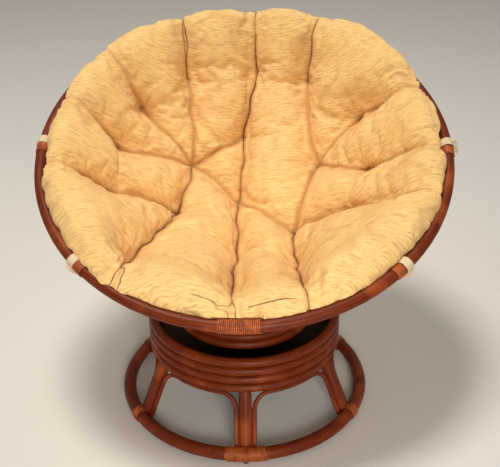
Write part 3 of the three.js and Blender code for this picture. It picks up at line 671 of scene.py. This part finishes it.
def archPoints():
    # drawn flat with its middle at 0, then wrapped on the cone between foot ring and drum
    sizes = baseSizes
    halfAngle = pi / sizes["postCount"]
    halfSpan = halfAngle * sizes["drumRadius"]
    bend, steps = sizes["archBend"], sizes["archSteps"]
    side = halfSpan - (sizes["postPole"] + sizes["archGap"] + sizes["archPole"])
    shoulder = sizes["archTop"] - bend
    centre = side - bend
    climb = shoulder - sizes["footRise"]
    flat = [(side, sizes["footRise"] + climb * i / steps) for i in range(steps)]
    for i in range(2 * steps + 1):
        turn = pi / 2 * i / (2 * steps)
        flat.append((centre + bend * cos(turn), shoulder + bend * sin(turn)))
    flat += [(centre * (1 - i / steps), sizes["archTop"]) for i in range(1, steps + 1)]
    flat += [(-x, z) for x, z in reversed(flat[:-1])]
    points = []
    for x, z in flat:
        radius = coneRadius(z)
        angle = halfAngle - (halfSpan - abs(x)) / radius
        angle = angle if x > 0 else -angle
        points.append(Vector((radius * sin(angle), -radius * cos(angle), z)))
    return points


def spunPoles(node, path, step, radius, offset, seed, sides):
    # one pole at each post, or halfway between the posts with an offset of 0.5
    count = baseSizes["postCount"]
    for k in range(count):
        spin = standTurn @ Matrix.Rotation(2 * pi * (k + offset) / count, 4, "Z")
        stations = [spin @ station for station in bowBetween(path, step)]
        widths = poleWidths(stations, radius, seed + k, ends=True)
        openPole(f"{node}_{k + 1}", "base", stations, widths, sides)


def makePostsAndArches():
    sizes = baseSizes
    post = [Vector((0, -coneRadius(rise), rise)) for rise in (sizes["footRise"], sizes["postEnd"])]
    spunPoles("post", post, poleLook["stepLength"], sizes["postPole"], 0, 30, 16)
    spunPoles("arch_brace", archPoints(), sizes["archStep"], sizes["archPole"], 0.5, 50, 12)


def makeBaseRings():
    sizes = baseSizes
    ringPole("foot_ring", "base", axisTurn, sizes["footRadius"], sizes["footPole"],
             sizes["footRise"], 4)
    for k in range(sizes["drumCount"]):
        rise = sizes["drumLowest"] + k * sizes["drumPitch"]
        ringPole(f"drum_ring_{k + 1}", "base", axisTurn, sizes["drumRadius"],
                 sizes["drumPole"], rise, 5 + k)
    for k in range(sizes["cradleCount"]):
        low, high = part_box(f"cradle_ring_{k + 1}")
        ringPole(f"cradle_ring_{k + 1}", "cradle", axisTurn, sizes["cradleRadius"],
                 sizes["cradlePole"], (low.z + high.z) / 2, 20 + k)


# cane bindings

bindingLook = {
    "strandWidth": 0.0042, "strandThickness": 0.0021, "strandGap": 0.0006,
    "turnSteps": 16,
    "footWidth": 0.029, "footSpliceWidth": 0.104, "footGap": 0.0003,
    "ribWidth": 0.030,
    "rimSpliceWidth": 0.100, "rimSpliceTurn": 0.7, "rimGap": 0.0002,
}


def wrapStations(turn, radius, rise, poleRadius, middle, width):
    # a strand wound round a ring's pole, from one end of the binding to the other
    look = bindingLook
    pitch = look["strandWidth"] + look["strandGap"]
    turns = max(round(width / pitch), 2)
    count = turns * look["turnSteps"]
    away = poleRadius + look["strandThickness"] / 2

    def placeAt(share):
        angle = middle + (share - 0.5) * (width - pitch) / radius
        aroundPole = 2 * pi * turns * share
        outward = ringDirections(angle)[0]
        normal = outward * cos(aroundPole) + Vector((0, 0, sin(aroundPole)))
        return outward * radius + Vector((0, 0, rise)) + normal * away, normal

    stations = []
    for i in range(count + 1):
        place, normal = placeAt(i / count)
        ahead = placeAt((i + 0.5) / count)[0] - placeAt((i - 0.5) / count)[0]
        stations.append(turn @ stationAt(place, ahead, normal))
    return stations


def binding(name, body, turn, radius, rise, poleRadius, middle, width, replaced=()):
    stations = wrapStations(turn, radius, rise, poleRadius, middle, width)
    half = (bindingLook["strandThickness"] / 2, bindingLook["strandWidth"] / 2)
    mesh = poleMesh(name, stations, [half] * len(stations), 8)
    return addPiece(name, mesh, body, "cane", replaced)


def makeBindings():
    base, bowl, look = baseSizes, bowlSizes, bindingLook
    # the foot ring's ends meet under the wide binding at the front post
    for k in range(base["postCount"]):
        width = look["footWidth"] if k else look["footSpliceWidth"]
        binding(f"footWrap_{k + 1}", "base", standTurn, base["footRadius"], base["footRise"],
                base["footPole"] + look["footGap"], 2 * pi * k / base["postCount"], width,
                [f"foot_binding_{k + 1}"])
    rim = (bowl["rimRadius"], -bowl["rimDrop"], bowl["rimPole"] + look["rimGap"])
    binding("rimSpliceWrap", "bowl", bowlTurn, *rim, radians(look["rimSpliceTurn"]),
            look["rimSpliceWidth"], ["rim_splice_binding"])
    for k in range(1, bowl["ribCount"]):
        binding(f"ribWrap_{k + 1}", "bowl", bowlTurn, *rim, 2 * pi * k / bowl["ribCount"],
                look["ribWidth"])


makeBowlPoles()
makeBaseRings()
makePostsAndArches()
makeBindings()
print("poles and bindings made")


# cushion

cushionLook = {
    "voxel": 0.0065,
    "smoothing": 6,
    "steps": 18,
    "mostMove": 0.024,
    "pinWidth": 0.005, "pinFade": 0.013,
    "seamDepth": 0.0130, "seamWidth": 0.0085, "seamWaver": 0.005,
    "edgeSeamDepth": 0.0035, "edgeSeamWidth": 0.006,
    "tuftDepth": 0.012, "tuftWidth": 0.014, "tuftShade": 0.006,
    "pinchDepth": 0.0024, "pinchReach": 0.060,
    "foldDepth": 0.0012,
    "tickPitch": 0.034,
    "lumps": 0.0045,
    "edgeWaves": ((0.004, 7, 0.6), (0.003, 17, 0.0)),
}
# for each noise: scale, and the seed that tells it from the others
noiseScales = {"waverX": (17.0, 31.0), "waverY": (17.0, 47.0), "rays": (18.0, 2.0),
               "ticks": (24.0, 5.0), "ridges": (np.array((8.0, 13.0)), 9.0),
               "patches": (5.0, 21.0), "lumps": (11.0, 13.0)}
shadeShares = {"tuft": 0.55, "line": 0.75, "pinch": 0.3, "wrinkle": 0.25}

# the cushion's fit on the bowl: metres, but turns in radians and angles in degrees
fitLook = {
    "underReach": (0.494, 0.516), "underTurn": (1.12, 1.20),
    "rimFill": 0.017,
    "fillRise": 0.006, "fillHeight": 0.034, "fillReach": (0.41, 0.47), "fillAngles": (62, 88),
    "pleatFill": 0.6, "pleatWidth": 5,
    "rimGap": 0.0012,
    "tieGap": 0.0045, "tieAngles": (2.2, 3.6),
    "spliceAngles": (5.5, 7.5),
}
tieAngles = (-92.8, -47.8, 47.8, 92.8)
boundAngles = (-90, -45, 0, 45, 90, 180)

# sewn pattern on the cushion laid flat: degrees from the front, and shares of the rim radius
middleTuft = (-157, 0.10)
innerTufts = ((-7, 0.28), (62, 0.26), (124, 0.42), (183, 0.42), (-133, 0.37), (-83, 0.34))
outerTufts = ((-3, 0.68), (33, 0.46), (74, 0.53), (99, 0.63), (125, 0.72), (155, 0.74),
              (177, 0.75), (-154, 0.76), (-129, 0.73), (-107, 0.69), (-82, 0.71), (-43, 0.79))
edgeAngles = (-1, 18, 72, 89, 113, 157, 178, -158, -130, -108, -82, -32)
edgeShare = 1.16
# the inner tuft that each outer one's spoke runs to, then the tufts without a hard dimple,
# and the outer tufts whose seam to the edge or spoke inward shows stitching
spokesInward = (0, 1, 1, 2, 2, 2, 3, 4, 4, 4, 5, 5)
softTufts = (1, 7, 17)
sewnEdges = (0, 1, 5, 6, 7, 11)
sewnSpokes = (0, 1, 6, 11)
# where seams are sewn twice: degrees, share of the rim radius, and how plainly
doubledPlaces = ((-1.5, 1.1, 1.0), (-32, 1.06, 1.2), (-156, 0.98, 0.4))
doubledReach = (0.035, 0.065)
# the seam between top panel and edge band: metres from the middle of the cloth, the turn
# in radians where it moves out, and the degrees between which it shows
edgeSeam = {"front": 0.534, "rearExtra": 0.05, "rearTurn": (1.1, 1.6), "from": (-15, -11),
            "to": (14, 18), "gap": (1.4, 2.4)}
# cloth laid flat: metres for each radian on the bowl, a little more near the crest
flatLook = {"reach": 0.404, "extra": 0.018, "crestTurn": 0.85, "crestWidth": 0.35,
            "top": 0.472, "topMost": 0.08}


def flatPoint(angle, share):
    reach = share * bowlSizes["rimRadius"]
    return np.array((reach * sin(radians(angle)), -reach * cos(radians(angle))))


def sewnPattern():
    # tufts, sewn seams that show a line of stitching, and soft folds that show none
    middle = flatPoint(*middleTuft)
    inner = [flatPoint(*tuft) for tuft in innerTufts]
    outer = [flatPoint(*tuft) for tuft in outerTufts]
    edge = [flatPoint(angle, edgeShare) for angle in edgeAngles]
    front, frontRight, right, back, left, frontLeft = inner
    seams = [(front, middle), (middle, back), (left, frontLeft)]
    folds = [(middle, left), (middle, frontRight), (frontRight, right), (left, back)]
    for i, tuft in enumerate(outer):
        (seams if i in sewnEdges else folds).append((edge[i], tuft))
        (seams if i in sewnSpokes else folds).append((tuft, inner[spokesInward[i]]))
    return [middle] + inner + outer, seams, folds


def bowlPlaces(points):
    # points in the bowl's own turned frame, whose origin is the middle of its sphere
    back = np.array(bowlTurn.inverted())
    return points @ back[:3, :3].T + back[:3, 3]


def bowlReach(local):
    # distance from the middle of the bowl's sphere, and radians from its lowest point
    rho = np.linalg.norm(local, axis=1)
    return rho, np.arccos(np.clip(-local[:, 2] / rho, -1, 1))


def fromBowl(local):
    turn = np.array(bowlTurn)
    return local @ turn[:3, :3].T + turn[:3, 3]


def clothPlaces(points):
    # where each point lies on the cloth laid flat, in metres
    local = bowlPlaces(points)
    rho, theta = bowlReach(local)
    angle = np.arctan2(local[:, 0], -local[:, 1])
    look = flatLook
    crest = np.clip((theta - look["crestTurn"]) / look["crestWidth"], 0, 1)
    over = np.clip(rho - look["top"], 0, look["topMost"])
    reach = theta * (look["reach"] + look["extra"] * crest) + over
    return np.stack((reach * np.sin(angle), -reach * np.cos(angle)), axis=1)


def smoothstep(values, low, high):
    share = np.clip((values - low) / (high - low), 0, 1)
    return share * share * (3 - 2 * share)


def nearestSeam(places, lines):
    # distance to the nearest seam, its sign, and how far along which seam
    nearest = np.full(len(places), 9.0)
    signed = np.full(len(places), 9.0)
    along = np.zeros(len(places))
    for k, (start, end) in enumerate(lines):
        line = end - start
        length = np.linalg.norm(line)
        away = places - start
        share = np.clip(away @ line / length ** 2, 0, 1)
        gap = np.linalg.norm(away - share[:, None] * line, axis=1)
        side = (away[:, 0] * line[1] - away[:, 1] * line[0]) / length
        closer = gap < nearest
        nearest[closer] = gap[closer]
        pastEnd = gap > np.abs(side) + 1e-4
        signed[closer] = np.where(pastEnd, gap, side)[closer]
        along[closer] = share[closer] * length + k * 0.37
    return nearest, signed, along


def nearestTuft(places, tufts):
    gaps = np.stack([np.linalg.norm(places - tuft, axis=1) for tuft in tufts])
    return gaps.min(axis=0), gaps.argmin(axis=0)


def noiseAt(places, name):
    scale, seed = noiseScales[name]
    stretched = np.column_stack((places * scale, np.full(len(places), seed)))
    return np.array([noise.noise(Vector(place)) for place in stretched])


def vectorsOf(mesh, name="co"):
    flat = np.empty(len(mesh.vertices) * 3)
    mesh.vertices.foreach_get(name, flat)
    return flat.reshape(-1, 3)


def setPoints(mesh, points):
    mesh.vertices.foreach_set("co", points.ravel())
    mesh.update()


def appliedMesh(piece):
    # the mesh with its modifiers applied
    graph = bpy.context.evaluated_depsgraph_get()
    return bpy.data.meshes.new_from_object(piece.evaluated_get(graph), depsgraph=graph)


def swapMesh(piece, mesh):
    old = piece.data
    piece.modifiers.clear()
    piece.data = mesh
    bpy.data.meshes.remove(old)


def undersideShare(points):
    # 1 on the underside, which rests on the bowl, and 0 on the top and the crest
    rho, theta = bowlReach(bowlPlaces(points))
    outside = smoothstep(rho, *fitLook["underReach"])
    return outside * (1 - smoothstep(theta, *fitLook["underTurn"]))


def rimPlaces(points):
    # points in the bowl's frame, their reach, degrees from the front, and rise over the rim
    local = bowlPlaces(points)
    across = np.hypot(local[:, 0], local[:, 1])
    angle = np.degrees(np.arctan2(local[:, 0], -local[:, 1]))
    return local, across, angle, local[:, 2] + bowlSizes["rimDrop"]


def swollenToRim(points):
    # the front and sides lean out until they rest on the rim, most at the front left pleat
    look = fitLook
    local, across, angle, up = rimPlaces(points)
    share = np.exp(-((up - look["fillRise"]) / look["fillHeight"]) ** 2)
    share *= smoothstep(across, *look["fillReach"])
    share *= 1 - smoothstep(np.abs(angle), *look["fillAngles"])
    pleat = np.exp(-((angle - edgeAngles[-1]) / look["pleatWidth"]) ** 2)
    share *= 1 + look["pleatFill"] * pleat
    grown = (across + look["rimFill"] * share) / np.maximum(across, 1e-6)
    return fromBowl(np.column_stack((local[:, 0] * grown, local[:, 1] * grown, local[:, 2])))


def clearOfRim(points):
    # pushes points out of the rim pole and its bindings and ties
    look = fitLook
    pole = bowlSizes["rimPole"]
    local, across, angle, up = rimPlaces(points)
    out = across - bowlSizes["rimRadius"]
    gap = np.maximum(np.hypot(out, up), 1e-6)
    least = np.full(len(points), pole + look["rimGap"])
    for place in tieAngles + boundAngles:
        off = np.abs((angle - place + 180) % 360 - 180)
        near = 1 - smoothstep(off, *look["tieAngles" if place else "spliceAngles"])
        least = np.maximum(least, pole + look["tieGap"] * near)
    push = np.maximum(least - gap, 0) / gap
    share = (across + out * push) / across
    moved = (local[:, 0] * share, local[:, 1] * share, local[:, 2] + up * push)
    return fromBowl(np.column_stack(moved))


def roughCushion():
    bm = bmesh.new()
    bm.from_mesh(nodes["cushion"].data)
    bmesh.ops.remove_doubles(bm, verts=bm.verts, dist=1e-5)
    piece = inScene(bpy.data.objects.new("seatCushion", meshFrom(bm, "seatCushion")))
    remesh = piece.modifiers.new("remesh", "REMESH")
    remesh.mode = "VOXEL"
    remesh.voxel_size = cushionLook["voxel"]
    smooth = piece.modifiers.new("smooth", "SMOOTH")
    smooth.factor = 0.5
    smooth.iterations = cushionLook["smoothing"]
    swapMesh(piece, appliedMesh(piece))
    return piece


# a shrink under 0 lets the cloth grow a little
clothSettings = {
    "quality": 5,
    "mass": 0.3,
    "tension_stiffness": 12,
    "compression_stiffness": 12,
    "shear_stiffness": 5,
    "bending_stiffness": 0.4,
    "use_pressure": True,
    "uniform_pressure_force": 5.0,
    "shrink_min": -0.05,
    "vertex_group_mass": "sewn",
}


def inflate(piece, tufts, lines):
    # pressure swells the cloth between the sewn lines, which are pinned
    look = cushionLook
    before = vectorsOf(piece.data)
    places = clothPlaces(before)
    toSeam = nearestSeam(places, lines)[0]
    toTuft = nearestTuft(places, tufts)[0]
    under = undersideShare(before)
    held = 1 - smoothstep(toSeam, look["pinWidth"], look["pinFade"])
    held = np.maximum(held, 1 - smoothstep(toTuft, 0.010, 0.020))
    held = np.maximum(held, under)
    group = piece.vertex_groups.new(name="sewn")
    for i in np.nonzero(held > 0.01)[0]:
        group.add([int(i)], float(held[i]), "REPLACE")
    cloth = piece.modifiers.new("cloth", "CLOTH")
    for name, value in clothSettings.items():
        setattr(cloth.settings, name, value)
    cloth.settings.effector_weights.gravity = 0
    cloth.collision_settings.use_collision = False
    for step in range(1, look["steps"] + 1):
        bpy.context.scene.frame_set(step)
    swollen = appliedMesh(piece)
    after = vectorsOf(swollen)
    bpy.data.meshes.remove(swollen)
    bpy.context.scene.frame_set(1)
    piece.modifiers.clear()
    piece.vertex_groups.clear()
    move = after - before
    length = np.linalg.norm(move, axis=1)
    most = look["mostMove"]
    move *= (most * np.tanh(length / most) / np.maximum(length, 1e-9))[:, None]
    setPoints(piece.data, before + move * (1 - under)[:, None])


def edgeSeamReach(angle):
    # where the top panel meets the edge band
    wave = sum(size * np.sin(angle * count + turn) for size, count, turn in cushionLook["edgeWaves"])
    rear = smoothstep(np.abs(angle), *edgeSeam["rearTurn"])
    return edgeSeam["front"] + edgeSeam["rearExtra"] * rear + wave


def edgeSeamShown(angle):
    # the band's seam shows plainly at the front only, with a gap at the middle
    across = np.degrees(angle)
    shown = smoothstep(across, *edgeSeam["from"]) * (1 - smoothstep(across, *edgeSeam["to"]))
    return 0.1 + 0.9 * shown * smoothstep(np.abs(across - 1), *edgeSeam["gap"])


def doubledShare(places):
    share = np.zeros(len(places))
    for angle, reach, most in doubledPlaces:
        gap = np.linalg.norm(places - flatPoint(angle, reach), axis=1)
        share = np.maximum(share, most * (1 - smoothstep(gap, *doubledReach)))
    return share


def sew(piece, tufts, seams, folds):
    # seams, tufts and the small folds that they pull, after the last subdivision
    mesh = piece.data
    look = cushionLook
    points = vectorsOf(mesh)
    places = clothPlaces(points)
    under = undersideShare(points)
    waver = np.column_stack([noiseAt(places, name) for name in ("waverX", "waverY")])
    waver *= look["seamWaver"]
    toLine, _, along = nearestSeam(places + waver, seams + folds)
    toSeam, signed, _ = nearestSeam(places + waver, seams)
    toTuft, which = nearestTuft(places, tufts)
    firm = ~np.isin(which, softTufts)
    reach = np.linalg.norm(places, axis=1)
    angle = np.arctan2(places[:, 0], -places[:, 1])
    toEdge = reach - edgeSeamReach(angle)

    shallow = 1 - 0.45 * smoothstep(reach, 0.47, 0.56)
    depth = look["seamDepth"] * np.exp(-toLine / look["seamWidth"]) * shallow
    depth += look["tuftDepth"] * np.exp(-(toTuft / look["tuftWidth"]) ** 1.5) * firm
    depth += look["edgeSeamDepth"] * np.exp(-np.abs(toEdge) / look["edgeSeamWidth"])
    away = places - np.array(tufts)[which]
    turn = np.arctan2(away[:, 1], away[:, 0])
    rays = turn * (6 + which % 3) + which * 1.9
    rays = 0.5 + 0.5 * np.cos(rays + noiseAt(places, "rays") * 2.5)
    fade = np.exp(-(toTuft / look["pinchReach"] * 1.5) ** 1.5) * smoothstep(toTuft, 0.004, 0.02)
    pinched = rays ** 2 * fade
    ticks = np.sin(along * (2 * pi / look["tickPitch"]) + 2.6 * noiseAt(places, "ticks"))
    nearLine = np.exp(-((toLine - 0.014) / 0.014) ** 2)
    ridges = np.clip(1 - np.abs(noiseAt(places, "ridges")) * 6, 0, 1)
    wrinkled = ridges * smoothstep(noiseAt(places, "patches"), -0.1, 0.25)
    wrinkled *= 1 - smoothstep(toEdge, -0.02, 0.02)
    depth += look["pinchDepth"] * pinched + look["foldDepth"] * (0.5 * ticks * nearLine + wrinkled)
    depth -= look["lumps"] * noiseAt(places, "lumps")
    depth *= 1 - under
    sunk = points - vectorsOf(mesh, "normal") * depth[:, None]
    setPoints(mesh, clearOfRim(swollenToRim(sunk)))

    flat = np.column_stack((places, np.zeros(len(points))))
    shown = edgeSeamShown(angle)
    nearEdge = (np.abs(toEdge) < np.abs(toSeam)) & (under < 0.5) & (shown > 0.4)
    seam = np.column_stack((np.where(nearEdge, toEdge, signed),
                            np.where(nearEdge, np.abs(toEdge), toSeam),
                            np.where(nearEdge, shown, 1.0)))
    seam[:, :2] += (under * 0.1)[:, None]
    # painted shade along seams and folds, at pinches and in wrinkles, none on the underside
    lineShade = np.exp(-(toLine / 0.006) ** 2) * (1 - 0.6 * smoothstep(reach, 0.4, 0.5))
    shares = shadeShares
    foldShaded = shares["line"] * lineShade + shares["pinch"] * pinched + shares["wrinkle"] * wrinkled
    foldShaded = np.clip(foldShaded, 0, 1) * (1 - under)
    # painted shade in the dimple of each firm tuft
    tuftShaded = shares["tuft"] * np.exp(-(toTuft / look["tuftShade"]) ** 2) * firm
    shade = np.column_stack((tuftShaded, foldShaded, doubledShare(places)))
    for name, values in (("clothPlace", flat), ("seamPlace", seam), ("foldPlace", shade)):
        attribute = mesh.attributes.new(name, "FLOAT_VECTOR", "POINT")
        attribute.data.foreach_set("vector", values.astype(np.float32).ravel())


def makeCushion():
    tufts, seams, folds = sewnPattern()
    piece = roughCushion()
    print("cushion remeshed:", len(piece.data.vertices), "points")
    inflate(piece, tufts, seams + folds)
    print("cushion swollen")
    finer = piece.modifiers.new("finer", "SUBSURF")
    finer.levels = 1
    finer.render_levels = 1
    swapMesh(piece, appliedMesh(piece))
    sew(piece, tufts, seams, folds)
    piece.data.polygons.foreach_set("use_smooth", [True] * len(piece.data.polygons))
    piece.data.materials.clear()
    piece.data.materials.append(finishes["cushion_cloth"])
    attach(piece, "bowl")
    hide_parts("cushion")
    print("cushion made:", len(piece.data.polygons), "faces")


makeCushion()


# ties

tieLook = {
    "width": 0.022,
    "thickness": 0.0018,
    "lift": 0.0012,
    "rungs": 9,
    "steps": 40,
    "fold": 0.0007,
    "waver": 0.0016,
    "knotTurns": (-0.5, -0.5, -0.5, 0.7), "knotLift": 0.0035,
    "knotHalf": (0.0095, 0.0085, 0.0048),
    "knotLumps": 0.35, "knotLumpScale": 160,
    "endHalf": (0.0042, 0.0011), "endStep": 0.0025,
    "endPath": ((0, 0, 0), (0.008, 0.004, 0.0015), (0.013, 0.014, -0.0015),
                (0.015, 0.026, -0.006)),
}


def tieBand(angle, seed):
    # a strip of cloth round the rim: a short profile across the band, spun round the pole
    name = f"tieBand_{seed + 1}"
    bowl = bowlSizes
    outward, along = ringDirections(angle)
    middle = outward * bowl["rimRadius"] - Vector((0, 0, bowl["rimDrop"]))
    radius = bowl["rimPole"] + tieLook["lift"]
    bm = bmesh.new()
    made = []
    for i in range(tieLook["rungs"]):
        share = i / (tieLook["rungs"] - 1) - 0.5
        made.append(bm.verts.new(middle + along * tieLook["width"] * share + outward * radius))
    edges = [bm.edges.new(pair) for pair in zip(made, made[1:])]
    bmesh.ops.spin(bm, geom=made + edges, cent=middle, axis=along, angle=2 * pi,
                   steps=tieLook["steps"], use_merge=True)
    for vert in bm.verts:
        away = vert.co - middle
        off = away.dot(along)
        away -= along * off
        away.normalize()
        fold = noise.noise(Vector((off * 260, seed * 5.1, 0)) + away * 1.1)
        waver = noise.noise(away * 1.6 + Vector((0, 0, seed)))
        vert.co += away * (tieLook["fold"] * fold)
        vert.co += along * (tieLook["waver"] * waver)
    bmesh.ops.recalc_face_normals(bm, faces=bm.faces)
    bmesh.ops.solidify(bm, geom=bm.faces[:], thickness=-tieLook["thickness"])
    addKnot(bm, middle, outward, along, radius, seed)
    bmesh.ops.transform(bm, matrix=bowlTurn, verts=bm.verts)
    bmesh.ops.recalc_face_normals(bm, faces=bm.faces)
    addPiece(name, meshFrom(bm, name), "bowl", "tie_cloth", [f"cushion_tie_{seed + 1}"])


def addKnot(bm, middle, outward, along, radius, seed):
    # a flat knot on the band's outer side, with two short ends
    turn = tieLook["knotTurns"][seed]
    normal = outward * cos(turn) + Vector((0, 0, sin(turn)))
    across = along.cross(normal)
    place = middle + normal * (radius + tieLook["knotLift"])
    knot = bmesh.ops.create_icosphere(bm, subdivisions=3, radius=1)["verts"]
    wide, long, high = tieLook["knotHalf"]
    shape = Matrix((across * wide, along * long, normal * high)).transposed().to_4x4()
    bmesh.ops.transform(bm, matrix=Matrix.Translation(place) @ shape, verts=knot)
    for vert in knot:
        lump = noise.noise(vert.co * tieLook["knotLumpScale"] + Vector((seed, 0, 0)))
        vert.co += (vert.co - place) * (tieLook["knotLumps"] * lump)
    for side in (-1, 1):
        path = [place + along * (off * side) + across * drop + normal * lift
                for off, drop, lift in tieLook["endPath"]]
        stations = bowBetween(path, tieLook["endStep"])
        sweep(bm, stations, [tieLook["endHalf"]] * len(stations), 8, False)


for k, angle in enumerate(tieAngles):
    tieBand(radians(angle), k)
print("ties made")


# springs and bolts of the mechanism

springLook = {
    "wire": 0.0018,
    "coil": 0.013,
    "curls": 3,
    "curlSteps": 28,
    "stepLength": 0.0022,
    "sides": 10,
    "besideAxis": 0.035,
    "behindAxis": 0.062,
    "endGap": 0.0002,
}


def makeSprings():
    look = springLook
    wire, radius = look["wire"], look["coil"]
    count = look["curls"] * look["curlSteps"]
    for corner in ("front_left", "front_right", "rear_left", "rear_right"):
        node = f"spring_{corner}"
        low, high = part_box(node)
        x = look["besideAxis"] if low.x + high.x > 0 else -look["besideAxis"]
        y = swivelAxis.y + (look["behindAxis"] if "rear" in corner else -look["behindAxis"])
        bottom, top = low.z + 2 * wire, high.z - 2 * wire
        middle = Vector((x, y, 0))
        points = [middle + Vector((radius, 0, low.z + look["endGap"]))]
        for i in range(count + 1):
            turn = 2 * pi * look["curls"] * i / count
            rise = bottom + (top - bottom) * i / count
            points.append(middle + Vector((radius * cos(turn), radius * sin(turn), rise)))
        points.append(middle + Vector((radius, 0, high.z - look["endGap"])))
        stations = bowBetween(points, look["stepLength"])
        widths = [(wire, wire)] * len(stations)
        name = f"coil_{corner}"
        mesh = poleMesh(name, stations, widths, look["sides"])
        coil = addPiece(name, mesh, None, "spring_steel", [node])
        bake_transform(coil)


boltLook = {"spacing": 0.152, "radius": 0.0065, "height": 0.0045, "bevel": 0.14, "gap": 0.0001}


def boltHead(bm, place):
    radius, height = boltLook["radius"], boltLook["height"]
    made = bmesh.ops.create_cone(bm, cap_ends=True, segments=6, radius1=radius, radius2=radius,
                                 depth=height)
    bmesh.ops.translate(bm, vec=Vector(place) + Vector((0, 0, height / 2)), verts=made["verts"])
    touching = dict.fromkeys(edge for vert in made["verts"] for edge in vert.link_edges)
    rims = [edge for edge in touching
            if all(abs(vert.co.z - place[2] - height) < 1e-6 for vert in edge.verts)]
    bmesh.ops.bevel(bm, geom=rims, offset=radius * boltLook["bevel"], segments=2, profile=0.5,
                    affect="EDGES", material=-1)


def makeBolts():
    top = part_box("base_plate")[1].z
    off = boltLook["spacing"] / 2
    bm = bmesh.new()
    for x in (-off, off):
        for y in (-off, off):
            boltHead(bm, (x, swivelAxis.y + y, top + boltLook["gap"]))
    addPiece("basePlateBolts", meshFrom(bm, "basePlateBolts", False), "base", "spring_steel")


makeSprings()
makeBolts()
print("mechanism dressed")


# floor

floorLook = {"size": 40.0, "colour": tone(232, 229, 224), "soil": tone(224, 220, 214)}


def makeFloor():
    bm = bmesh.new()
    bmesh.ops.create_grid(bm, x_segments=1, y_segments=1, size=floorLook["size"] / 2)
    floor = inScene(bpy.data.objects.new("studioFloor", meshFrom(bm, "studioFloor")))
    finish = Finish("studioPaper")
    grain = finish.clouds(finish.place(), 3.0, 2.0)
    tint = finish.mixed(grain * 0.1, floorLook["colour"], floorLook["soil"])
    floor.data.materials.append(finish.set(colour=tint, roughness=0.95, specular=0.1))


makeFloor()
makeCamera(cameraSettings)
makeLamps()
bpy.context.scene.view_settings.view_transform = "Standard"

print("scene made")
